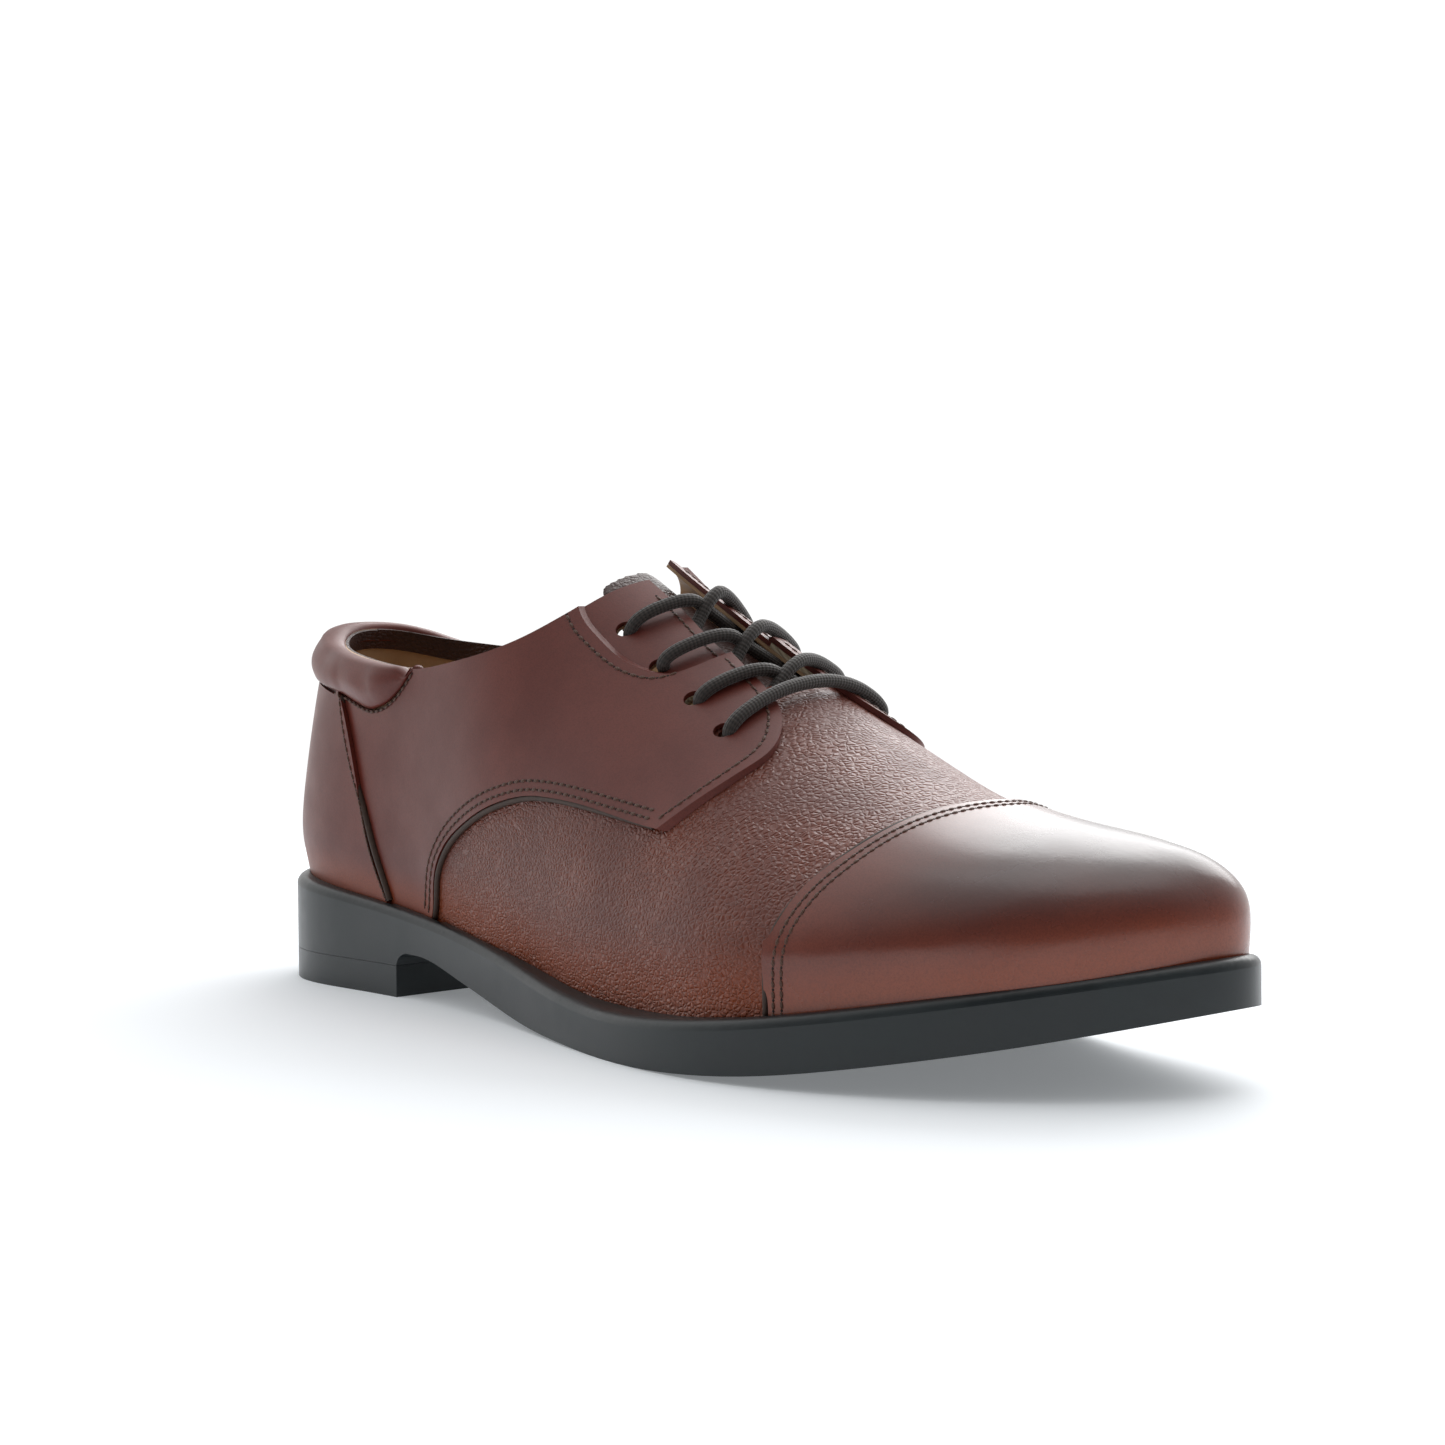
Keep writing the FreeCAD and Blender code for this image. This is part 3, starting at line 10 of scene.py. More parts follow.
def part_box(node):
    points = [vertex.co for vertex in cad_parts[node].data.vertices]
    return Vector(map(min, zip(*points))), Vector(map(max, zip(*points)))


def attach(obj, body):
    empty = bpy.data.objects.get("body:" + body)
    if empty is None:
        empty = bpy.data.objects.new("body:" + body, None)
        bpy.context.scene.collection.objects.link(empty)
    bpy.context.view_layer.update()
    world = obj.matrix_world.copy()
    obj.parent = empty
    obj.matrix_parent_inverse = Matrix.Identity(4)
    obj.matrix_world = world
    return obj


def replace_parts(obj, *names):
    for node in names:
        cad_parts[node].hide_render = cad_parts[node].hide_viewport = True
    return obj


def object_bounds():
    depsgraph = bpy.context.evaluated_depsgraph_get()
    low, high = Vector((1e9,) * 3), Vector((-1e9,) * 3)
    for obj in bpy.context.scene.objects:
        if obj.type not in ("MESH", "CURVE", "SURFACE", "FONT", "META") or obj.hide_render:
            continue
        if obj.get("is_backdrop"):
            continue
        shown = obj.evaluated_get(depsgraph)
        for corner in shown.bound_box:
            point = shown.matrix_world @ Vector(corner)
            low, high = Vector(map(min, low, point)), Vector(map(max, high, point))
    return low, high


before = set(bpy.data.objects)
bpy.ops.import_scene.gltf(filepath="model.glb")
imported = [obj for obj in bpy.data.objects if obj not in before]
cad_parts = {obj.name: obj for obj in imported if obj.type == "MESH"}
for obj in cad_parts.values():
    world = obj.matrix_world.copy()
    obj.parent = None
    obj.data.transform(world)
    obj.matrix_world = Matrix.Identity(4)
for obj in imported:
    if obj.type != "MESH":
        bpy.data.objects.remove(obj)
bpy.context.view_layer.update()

# ---------------------------------------------------------------- camera
# The shoe lies toe to the right and is seen from low down in front of its outer side.
# Places are given from the back of the sole and from the heel's centre line, in mm.
mm = 0.001
sole_low, sole_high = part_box("outsole")
axis_y = sole_low.y + 58.7 * mm


def at(x, y, z):
    """Distance from the back of the sole, side distance and height to a point."""
    return Vector((sole_low.x + x * mm, axis_y + y * mm, z * mm))


camera_data = bpy.data.cameras.new("camera")
camera = bpy.data.objects.new("camera", camera_data)
bpy.context.collection.objects.link(camera)
bpy.context.scene.camera = camera
turn, dip, tilt = math.radians(46.95), math.radians(1.95), math.radians(-0.5)
forward = Vector((-math.sin(turn) * math.cos(dip), math.cos(turn) * math.cos(dip), -math.sin(dip)))
level = Vector((math.cos(turn), math.sin(turn), 0))
upward = level.cross(forward)
right = level * math.cos(tilt) + upward * math.sin(tilt)
top = upward * math.cos(tilt) - level * math.sin(tilt)
camera.matrix_world = Matrix.LocRotScale(
    at(589.7, -401.3, 93.0), Matrix((right, top, -forward)).transposed(), None)
camera_data.sensor_width = 36
camera_data.lens = 62.1
camera_data.shift_x = -0.0075
camera_data.shift_y = -0.0059
camera_data.clip_start, camera_data.clip_end = 0.01, 20

# ---------------------------------------------------------------- sole unit
# One-piece moulded rubber sole with a block heel, and the wearing piece under the heel.
# Satin black rubber with a rounded lip, cemented to the upper.


def node(tree, kind, inputs=None, **settings):
    """Add a shader node, set it, and give each input a value or a link."""
    made = tree.nodes.new(kind)
    for key, value in settings.items():
        setattr(made, key, value)
    for key, value in (inputs or {}).items():
        if isinstance(value, bpy.types.NodeSocket):
            tree.links.new(value, made.inputs[key])
        else:
            made.inputs[key].default_value = value
    return made


def finish(name, colour, roughness, bump=None, **sockets):
    """A principled finish. Colour and roughness may be sockets or plain values."""
    material = bpy.data.materials.get(name)
    tree = material.node_tree
    shader = tree.nodes["Principled BSDF"]
    for key, value in (("Base Color", colour), ("Roughness", roughness), ("Normal", bump)):
        if isinstance(value, bpy.types.NodeSocket):
            tree.links.new(value, shader.inputs[key])
        elif value is not None:
            shader.inputs[key].default_value = value
    for key, value in sockets.items():
        shader.inputs[key.replace("_", " ").title().replace("Ior", "IOR")].default_value = value
    return material


def start(name):
    """A new material's node tree, and the object coordinates in it."""
    material = bpy.data.materials.new(name)
    material.use_nodes = True
    tree = material.node_tree
    place = node(tree, "ShaderNodeTexCoord").outputs["Object"]
    return tree, place


def blend_of(tree, factor, first, second):
    """Mix two colours, each a socket or a plain colour."""
    mix = node(tree, "ShaderNodeMix", data_type="RGBA")
    for index, value in ((0, factor), (6, first), (7, second)):
        if isinstance(value, bpy.types.NodeSocket):
            tree.links.new(value, mix.inputs[index])
        else:
            mix.inputs[index].default_value = value
    return mix.outputs[2]


def ramp(tree, value, low, high, out_low=0.0, out_high=1.0):
    """Ease a value from one range into another."""
    return node(tree, "ShaderNodeMapRange", {"Value": value, "From Min": low, "From Max": high,
                                             "To Min": out_low, "To Max": out_high},
                interpolation_type="SMOOTHSTEP").outputs["Result"]


def speckle(tree, place, scale, detail=3.0, roughness=0.55, distortion=0.0):
    """Fractal noise between 0 and 1."""
    return node(tree, "ShaderNodeTexNoise", {"Vector": place, "Scale": scale, "Detail": detail,
                                             "Roughness": roughness, "Distortion": distortion}).outputs["Fac"]


def bumped(tree, height, strength, distance, after=None):
    """A bump, laid over an earlier one if it is given."""
    inputs = {"Height": height, "Strength": strength, "Distance": distance}
    if after is not None:
        inputs["Normal"] = after
    return node(tree, "ShaderNodeBump", inputs).outputs["Normal"]


def dress(material, *names):
    """Give CAD pieces a finish."""
    for name in names:
        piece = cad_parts[name]
        for piece_slot in piece.material_slots:
            piece_slot.material = material


tree, place = start("sole rubber")
cloudy = speckle(tree, place, 60, 4)
fine = speckle(tree, place, 1800, 2)
rubber = finish("sole rubber",
                blend_of(tree, ramp(tree, cloudy, 0.35, 0.7), (0.009, 0.013, 0.015, 1), (0.015, 0.021, 0.023, 1)),
                ramp(tree, cloudy, 0.3, 0.75, 0.3, 0.42),
                bumped(tree, fine, 0.25, 0.00004), ior=1.5)
dress(rubber, "outsole", "heel_top_piece")

# ---------------------------------------------------------------- bottom parts
# Insole board, steel shank, cork filler, heel cushion and the leather sock liner
# that the foot stands on. All are cemented on the sole inside the upper.
tree, place = start("insole board")
fibre = speckle(tree, place, 900, 5)
board = finish("insole board", blend_of(tree, fibre, (0.36, 0.24, 0.15, 1), (0.5, 0.37, 0.25, 1)), 0.85,
               bumped(tree, fibre, 0.3, 0.0001))
dress(board, "insole_board", "heel_stiffener", "toe_puff")

tree, place = start("cork filler")
crumbs = node(tree, "ShaderNodeTexVoronoi", {"Vector": place, "Scale": 500.0}, feature="F1")
cork = finish("cork filler", blend_of(tree, crumbs.outputs["Distance"], (0.2, 0.11, 0.05, 1), (0.42, 0.27, 0.14, 1)),
              0.9, bumped(tree, crumbs.outputs["Distance"], 0.5, 0.0002))
dress(cork, "bottom_filler")

tree, place = start("shank steel")
streak = speckle(tree, node(tree, "ShaderNodeMapping", {"Vector": place, "Scale": (30, 900, 900)}).outputs[0], 1.0)
steel = finish("shank steel", (0.45, 0.45, 0.46, 1), ramp(tree, streak, 0.2, 0.8, 0.25, 0.45), metallic=1.0)
dress(steel, "shank")

tree, place = start("soft foam")
cells = node(tree, "ShaderNodeTexVoronoi", {"Vector": place, "Scale": 1600.0}, feature="F1")
foam = finish("soft foam", blend_of(tree, cells.outputs["Distance"], (0.75, 0.66, 0.4, 1), (0.6, 0.5, 0.28, 1)), 0.95,
              bumped(tree, cells.outputs["Distance"], 0.6, 0.0002))
dress(foam, "heel_pad")

tree, place = start("lining leather")
mottled = speckle(tree, place, 70, 5)
pores = speckle(tree, place, 2200, 3)
tan = finish("lining leather",
             blend_of(tree, ramp(tree, mottled, 0.3, 0.75), (0.47, 0.29, 0.155, 1), (0.57, 0.375, 0.215, 1)),
             ramp(tree, mottled, 0.3, 0.7, 0.5, 0.66), bumped(tree, pores, 0.35, 0.00008), sheen_weight=0.1)
dress(tan, "sock_liner", "heel_lining", "quarter_lining_lateral", "quarter_lining_medial", "toe_lining")

tree, place = start("cotton drill")
threads = node(tree, "ShaderNodeTexWave", {"Vector": place, "Scale": 380.0, "Distortion": 0.4, "Detail": 1.0},
               bands_direction="DIAGONAL")
drill = finish("cotton drill", blend_of(tree, threads.outputs["Fac"], (0.5, 0.4, 0.27, 1), (0.66, 0.56, 0.42, 1)), 0.9,
               bumped(tree, threads.outputs["Fac"], 0.5, 0.0002))
dress(drill, "vamp_lining", "quarter_backing_lateral", "quarter_backing_medial", "facing_strip_lateral",
      "facing_strip_medial")

# ---------------------------------------------------------------- vamp
# Pebbled calf over the front of the foot, drawn over the last and cemented into the sole.
# Its colour is a reddish chestnut; the redder, brighter band just above the sole is painted light thrown up by the pale
# table.
sole_edge = ((0, 28.6), (50, 24.4), (110, 17.4), (160, 11.0), (205, 11.9), (250, 18.3), (300, 27.8))
edge_scale = 40 * mm


def rise_above_sole(tree, place):
    """Height of a point above the sole's upper edge."""
    split = node(tree, "ShaderNodeSeparateXYZ", {"Vector": place})
    along = node(tree, "ShaderNodeMapRange", {"Value": split.outputs["X"], "From Min": sole_low.x,
                                              "From Max": sole_low.x + 300 * mm}).outputs["Result"]
    line = node(tree, "ShaderNodeFloatCurve", {"Value": along})
    curve = line.mapping.curves[0]
    for k, (x, z) in enumerate(sole_edge):
        spot = (x / 300, z * mm / edge_scale)
        if 0 < k < len(sole_edge) - 1:
            curve.points.new(*spot)
        else:
            curve.points[0 if k == 0 else len(curve.points) - 1].location = spot
    line.mapping.update()
    height = node(tree, "ShaderNodeMath", {0: line.outputs["Value"], 1: edge_scale}, operation="MULTIPLY")
    return node(tree, "ShaderNodeMath", {0: split.outputs["Z"], 1: height.outputs[0]},
                operation="SUBTRACT").outputs[0], split.outputs["X"]


def calf(name, main, deep, sole_glow, sole_glow_reach, pebble=0.0, gloss=(0.3, 0.42)):
    """Aniline calf: cloudy colour, a redder and brighter band of painted light just above the sole, pores, and pebbles
    if it is grained.
    """
    tree, place = start(name)
    rise, along = rise_above_sole(tree, place)
    cloud = speckle(tree, place, 45, 5)
    dye_and_painted_light = blend_of(tree, ramp(tree, cloud, 0.34, 0.68), deep, main)
    # Painted light: close above the sole's edge the colour is blended to a redder, brighter one, standing in for light
    # thrown up by the pale table.
    dye_and_painted_light = blend_of(tree, ramp(tree, rise, 0.001, sole_glow_reach, 1.0, 0.0), dye_and_painted_light, sole_glow)
    pores = speckle(tree, place, 2600, 3, 0.6)
    creases = speckle(tree, place, 420.0, 4.0, 0.6, 1.6)
    dye_and_painted_light = blend_of(tree, ramp(tree, pores, 0.3, 0.62, 0.28, 0.0), dye_and_painted_light, (0.02, 0.006, 0.004, 1))
    skin = bumped(tree, pores, 0.16, 0.00006)
    skin = bumped(tree, creases, 0.22, 0.00012, skin)
    if pebble:
        wander = node(tree, "ShaderNodeTexNoise", {"Vector": place, "Scale": 160.0, "Detail": 2.0})
        drift = node(tree, "ShaderNodeVectorMath", {0: wander.outputs["Color"], 1: (0.0016, 0.0016, 0.0016)},
                     operation="MULTIPLY")
        moved = node(tree, "ShaderNodeVectorMath", {0: place, 1: drift.outputs[0]}, operation="ADD")
        drawn = node(tree, "ShaderNodeMapping", {"Vector": moved.outputs[0], "Rotation": (0.3, 0.5, 0.4),
                                                 "Scale": (1.0, 0.72, 1.25)}).outputs[0]
        cells = node(tree, "ShaderNodeTexVoronoi", {"Vector": drawn, "Scale": 760.0},
                     feature="DISTANCE_TO_EDGE").outputs["Distance"]
        domes = ramp(tree, cells, 0.0, 0.3)
        depth = ramp(tree, cloud, 0.25, 0.6, 0.45, 1.0)
        domes = node(tree, "ShaderNodeMath", {0: domes, 1: depth}, operation="MULTIPLY").outputs[0]
        skin = bumped(tree, domes, pebble, 0.00028, skin)
        dye_and_painted_light = blend_of(tree, ramp(tree, cells, 0.0, 0.12, 0.35, 0.0), dye_and_painted_light, deep)
    return tree, place, rise, along, dye_and_painted_light, skin, ramp(tree, cloud, 0.3, 0.72, gloss[1], gloss[0])


# The fourth colour is painted light near the sole.
tree, place, rise, along, dye_and_painted_light, skin, gloss = calf(
    "grained calf", (0.2, 0.05, 0.027, 1), (0.135, 0.03, 0.017, 1), (0.3, 0.062, 0.018, 1), 0.02, 0.9, (0.3, 0.42))
grained = finish("grained calf", dye_and_painted_light, gloss, skin, specular_ior_level=0.45)
dress(grained, "vamp")

# ---------------------------------------------------------------- toe cap
# Smooth calf laid over the vamp's front end and polished darker towards the tip.
# Double stitching in dark thread holds its back edge, which is trimmed straight down at the sole.
# The fourth colour is painted light near the sole.
tree, place, rise, along, dye_and_painted_light, skin, gloss = calf(
    "burnished calf", (0.2, 0.045, 0.026, 1), (0.16, 0.034, 0.02, 1), (0.29, 0.058, 0.02, 1), 0.013, 0.0, (0.2, 0.3))
toward_tip = ramp(tree, along, sole_low.x + 226 * mm, sole_low.x + 268 * mm)
upper_part = ramp(tree, rise, 0.006, 0.024)
dark = node(tree, "ShaderNodeMath", {0: toward_tip, 1: upper_part}, operation="MULTIPLY").outputs[0]
wisps = speckle(tree, place, 30, 3)
dark = node(tree, "ShaderNodeMath", {0: dark, 1: ramp(tree, wisps, 0.2, 0.7, 0.8, 1.0)},
            operation="MULTIPLY").outputs[0]
burnished = finish("burnished calf", blend_of(tree, dark, dye_and_painted_light, (0.028, 0.008, 0.007, 1)), gloss, skin,
                   coat_weight=0.2, coat_roughness=0.3)


def fair_line(points, step=0.8):
    """Points spaced evenly along a smooth curve through the given ones."""
    p = np.array(points, float)
    ends = np.vstack([2 * p[0] - p[1], p, 2 * p[-1] - p[-2]])
    fine = []
    for k in range(1, len(ends) - 2):
        a, b, c, d = ends[k - 1:k + 3]
        for t in np.linspace(0, 1, 24, endpoint=False):
            fine.append(0.5 * (2 * b + (c - a) * t + (2 * a - 5 * b + 4 * c - d) * t ** 2
                               + (3 * b - a - 3 * c + d) * t ** 3))
    fine.append(p[-1])
    fine = np.array(fine)
    run = np.concatenate([[0], np.cumsum(np.linalg.norm(np.diff(fine, axis=0), axis=1))])
    spots = np.linspace(0, run[-1], max(2, int(round(run[-1] / step)) + 1))
    return np.column_stack([np.interp(spots, run, fine[:, k]) for k in range(p.shape[1])])


def hide(*names):
    """Search tree of the faces of some CAD nodes."""
    corners, faces = [], []
    for name in names:
        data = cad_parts[name].data
        base = len(corners)
        corners += [v.co.copy() for v in data.vertices]
        faces += [[base + i for i in f.vertices] for f in data.polygons]
    return BVHTree.FromPolygons(corners, faces)


def from_side(points, side, skins):
    """Side-view curve laid on the skins as seen from one side: places and outward directions."""
    found = []
    for x, z in fair_line(points):
        hit = skins.ray_cast(at(x, side * 120, z), Vector((0, -side, 0)))
        if hit[0]:
            found.append((hit[0], hit[1]))
    return found


def from_above(points, skins):
    """Plan-view curve laid on the skins as seen from above."""
    found = []
    for x, y in fair_line(points):
        hit = skins.ray_cast(at(x, y, 160), Vector((0, 0, -1)))
        if hit[0]:
            found.append((hit[0], hit[1]))
    return found


def onto(points, skins):
    """Space curve laid on the nearest skin, keeping only outward faces."""
    found = []
    for x, y, z in fair_line(points):
        p = at(x, y, z)
        hit = skins.ray_cast(p + (p - at(x, 5, 5)).normalized() * 0.02, at(x, 5, 5) - p)
        if hit[0]:
            found.append((hit[0], hit[1]))
    return found


def calm(line, rounds=4):
    """Even out a laid curve, so that thread and piping run smoothly."""
    p = np.array([a for a, b in line], float)
    n = np.array([b for a, b in line], float)
    for k in range(rounds):
        p[1:-1] = (p[:-2] + 2 * p[1:-1] + p[2:]) / 4
        n[1:-1] = (n[:-2] + 2 * n[1:-1] + n[2:]) / 4
    return [(Vector(a), Vector(b).normalized()) for a, b in zip(p, n)]


def beside(line, gap, skins):
    """The same curve moved sideways over the skins."""
    moved = []
    for k, (p, n) in enumerate(line):
        ahead = line[min(k + 1, len(line) - 1)][0] - line[max(k - 1, 0)][0]
        q = p + n.cross(ahead).normalized() * gap * mm
        hit = skins.find_nearest(q, 0.006)
        if hit[0]:
            moved.append((hit[0], hit[1] if hit[1].dot(n) > 0.3 else n))
    return calm(moved)


thread_width, hole_radius, stitch_gap = 0.42, 0.34, 0.12
tree, place = start("dark thread")
twist = node(tree, "ShaderNodeTexWave", {"Vector": place, "Scale": 900.0, "Distortion": 2.0},
             bands_direction="DIAGONAL").outputs["Fac"]
thread = finish("dark thread", blend_of(tree, twist, (0.055, 0.022, 0.012, 1), (0.12, 0.05, 0.028, 1)), 0.55,
                bumped(tree, twist, 0.4, 0.00006))
# Painted shade: near-black dots on the surface stand in for the shade inside each hole the thread goes through.
tree, place = start("needle hole painted shade")
grit = speckle(tree, place, 3000)
painted_hole_shade = finish("needle hole painted shade", blend_of(tree, grit, (0.012, 0.004, 0.003, 1), (0.03, 0.01, 0.006, 1)), 0.8)


def settle(name, bm, material, body="shoe"):
    """Make a bmesh into a piece at the origin that rides on a body."""
    data = bpy.data.meshes.new(name)
    bm.to_mesh(data)
    bm.free()
    data.materials.append(material)
    data.shade_smooth()
    piece = bpy.data.objects.new(name, data)
    bpy.context.collection.objects.link(piece)
    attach(piece, body)
    return piece


def sew(name, lines, pitch=2.3):
    """Lock stitches along laid curves, with a dark dot of painted shade where the thread sinks in at each end of a
    stitch.
    """
    bm, hole_shades = bmesh.new(), bmesh.new()
    for line in lines:
        run = np.concatenate([[0], np.cumsum([(line[k + 1][0] - line[k][0]).length for k in range(len(line) - 1)])])
        count = max(1, int(run[-1] / (pitch * mm)))
        p = np.array([a for a, b in line])
        n = np.array([b for a, b in line])

        def spot(s):
            return (Vector([np.interp(s, run, p[:, k]) for k in range(3)]),
                    Vector([np.interp(s, run, n[:, k]) for k in range(3)]).normalized())
        for k in range(count):
            s0 = run[-1] * (k + stitch_gap) / count
            s1 = run[-1] * (k + 1 - stitch_gap) / count
            (a, na), (b, nb) = spot(s0), spot(s1)
            along = (b - a).normalized()
            up = (na + nb).normalized()
            across = up.cross(along).normalized()
            up = along.cross(across)
            along = (along + across * 0.1).normalized()
            across = up.cross(along)
            turned = Matrix((along, across, up)).transposed().to_4x4()
            middle = (a + b) / 2 + up * 0.02 * mm
            size = Matrix.Diagonal(((b - a).length / 2, thread_width * mm, thread_width * 0.7 * mm, 1))
            bmesh.ops.create_uvsphere(bm, u_segments=8, v_segments=6, radius=1.0,
                                      matrix=Matrix.Translation(middle) @ turned @ size)
            # A flat dark dot: painted shade of the hole.
            dot = Matrix.Diagonal((hole_radius * mm, hole_radius * mm, 0.1 * mm, 1))
            q, nq = spot(run[-1] * k / count)
            bmesh.ops.create_uvsphere(hole_shades, u_segments=8, v_segments=4, radius=1.0,
                                      matrix=Matrix.Translation(q) @ turned @ dot)
    settle(name, bm, thread)
    settle(name + "_hole_shades", hole_shades, painted_hole_shade)


def roll(name, line, radius, sink, material):
    """A thin dark cord that lies along a curve: a rolled edge, whose colour also paints the shadow of the gap beside
    it.
    """
    line = calm(line)
    data = bpy.data.curves.new(name, "CURVE")
    data.dimensions = "3D"
    data.bevel_depth = radius * mm
    data.bevel_resolution = 3
    data.use_fill_caps = True
    spline = data.splines.new("NURBS")
    kept = line[::3] + [line[-1]]
    spline.points.add(len(kept) - 1)
    for spot, (p, n) in zip(spline.points, kept):
        spot.co = (*(p + n * sink * mm), 1)
    spline.order_u = 3
    spline.use_endpoint_u = True
    spline.resolution_u = 6
    data.materials.append(material)
    piece = bpy.data.objects.new(name, data)
    bpy.context.collection.objects.link(piece)
    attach(piece, "shoe")


# Colour of the edge cords: partly the coloured raw edge, partly painted shadow of the gap where an upper panel laps
# over the one below.
tree, place = start("edge colour and painted shadow")
worn = speckle(tree, place, 700, 4)
edge_colour_and_shadow = finish("edge colour and painted shadow", blend_of(tree, worn, (0.022, 0.012, 0.008, 1), (0.075, 0.038, 0.024, 1)), 0.6,
                  bumped(tree, worn, 0.4, 0.0001))

cap_edge = [(224.2, -51, 9), (224.3, -51.5, 14), (224.6, -52.2, 22), (225.8, -50.5, 31), (228.4, -44, 40),
            (231.6, -35, 46.5), (234.8, -19.5, 52.8), (237.6, -4, 55), (238.8, 5, 55.2), (237.8, 14, 53.5),
            (234.5, 26, 47), (231, 34, 37), (228, 38.5, 27), (225.5, 39.5, 18), (224, 38.5, 11)]
cap_start, fold_angle = 224.1, 0.6
bm = bmesh.new()
bm.from_mesh(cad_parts["toe_cap"].data)
bmesh.ops.remove_doubles(bm, verts=bm.verts, dist=0.000001)
bmesh.ops.bisect_plane(bm, geom=bm.verts[:] + bm.edges[:] + bm.faces[:], plane_co=at(cap_start, 0, 0),
                       plane_no=(1, 0, 0), clear_inner=True)
bmesh.ops.holes_fill(bm, edges=[e for e in bm.edges if e.is_boundary], sides=0)
sharp = [e for e in bm.edges if len(e.link_faces) == 2 and e.calc_face_angle() > fold_angle]
bmesh.ops.split_edges(bm, edges=sharp)
cap = settle("trimmed_toe_cap", bm, burnished)
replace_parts(cap, "toe_cap")
cap_skin = hide("toe_cap")
vamp_skin = hide("vamp")
cap_line = calm(onto([(x + 1.0, y, z) for x, y, z in cap_edge], cap_skin))
sew("cap_stitches", [beside(cap_line, -0.9, cap_skin), beside(cap_line, -2.9, cap_skin)], 2.2)
# The cord on the vamp along the cap's edge is the raw edge and painted shadow of the gap under it.
vamp_line = calm(onto([(x - 0.9, y, z) for x, y, z in cap_edge], vamp_skin))
roll("cap_edge_and_shadow_roll", vamp_line, 0.7, 0.4, edge_colour_and_shadow)

# ---------------------------------------------------------------- quarters
# Two smooth calf side panels that end in the lacing tabs, sewn over the vamp.
# A double row follows the curved seam and a single row follows the tab.
# The fourth colour is painted light near the sole.
tree, place, rise, along, dye_and_painted_light, skin, gloss = calf(
    "smooth calf", (0.16, 0.031, 0.02, 1), (0.13, 0.024, 0.016, 1), (0.25, 0.048, 0.017, 1), 0.012, 0.0, (0.36, 0.46))
smooth_calf = finish("smooth calf", dye_and_painted_light, gloss, skin, specular_ior_level=0.4)
dress(smooth_calf, "quarter_lateral", "quarter_medial", "heel_counter_cover")
arc = [(81, 21.6), (84.1, 28.6), (87.5, 35), (93.6, 41), (102.1, 45.9), (112.2, 50.2), (122, 53), (131, 54.5),
       (141.2, 54.5), (153, 53.5), (164.3, 52), (178.5, 50.2)]
tab_outer = [(181.3, -8.7), (187.5, -11.2), (191.4, -14.6), (194.7, -19.2), (195.8, -24.5), (194.6, -29.3),
             (192.2, -33.9), (188, -38.6), (182.5, -42)]
tab_inner = [(181.5, 12.6), (187.5, 14.8), (191.6, 17.6), (194.7, 21), (195.8, 25), (194.6, 28.6), (192.2, 31.4),
             (188, 34.6), (182.5, 37)]
facing_outer = [(141, -3.6), (149, -4.2), (158.2, -5.4), (165.7, -6), (172.5, -7)]
facing_inner = [(132, 9), (142, 9.2), (150, 9.4), (158, 9.8), (166, 10.3), (173, 11)]
for side, word, tab, facing in ((-1, "lateral", tab_outer, facing_outer), (1, "medial", tab_inner, facing_inner)):
    quarter_skin = hide("quarter_" + word, "eyestay_insert_" + word)
    seam = calm(from_side([(x - 0.6, z + 0.6) for x, z in arc], side, hide("quarter_" + word)))
    rows = [beside(seam, -side * 0.8, quarter_skin), beside(seam, -side * 2.9, quarter_skin)]
    front = calm(from_above([(x - 0.9, y + side * 0.5) for x, y in facing + tab], quarter_skin))
    rows.append(beside(front, side * 1.9, quarter_skin))
    sew("quarter_stitches_" + word, rows, 2.5)
    # The cord on the vamp below the seam is the raw edge and painted shadow of the gap under it.
    lower = calm(from_side([(x + 0.5, z - 0.6) for x, z in arc], side, vamp_skin))
    roll("quarter_edge_and_shadow_roll_" + word, lower, 0.8, 0.45, edge_colour_and_shadow)

# ---------------------------------------------------------------- eyestay inserts
# Smooth calf let in under the quarter at the two upper eyelets of each side.
dress(smooth_calf, "eyestay_insert_lateral", "eyestay_insert_medial")
insert_edge = [(128.7, 98.1), (132.8, 94.2), (138, 90.9), (143.9, 87.5), (150.6, 84.6), (156.9, 83.1), (161.2, 83.2),
               (163.8, 84.9)]
for side, word, lift in ((-1, "lateral", 0), (1, "medial", 7)):
    quarter_skin = hide("quarter_" + word)
    seam = calm(from_side([(x - 1.4, z + lift - 1.2) for x, z in insert_edge], side, quarter_skin))
    sew("insert_stitches_" + word, [beside(seam, 0, quarter_skin)], 2.5)

# ---------------------------------------------------------------- heel counter cover
# Smooth calf over the back of the heel, lapped over both quarters with one row of stitches.
counter_edge = [(60, 23.8), (56, 33), (50.5, 45), (44.5, 57), (40, 68), (36.5, 79)]
counter_skin = hide("heel_counter_cover")
quarters_skin = hide("quarter_lateral", "quarter_medial")
for side, word in ((-1, "lateral"), (1, "medial")):
    seam = calm(from_side([(x - 0.8, z) for x, z in counter_edge], side, counter_skin))
    sew("counter_stitches_" + word, [beside(seam, side * 1.4, counter_skin)], 2.5)
    # The cord on the quarter beside the counter cover is the raw edge and painted shadow of the gap under it.
    behind = calm(from_side([(x + 0.8, z) for x, z in counter_edge], side, quarters_skin))
    roll("counter_edge_and_shadow_roll_" + word, behind, 0.9, 0.4, edge_colour_and_shadow)

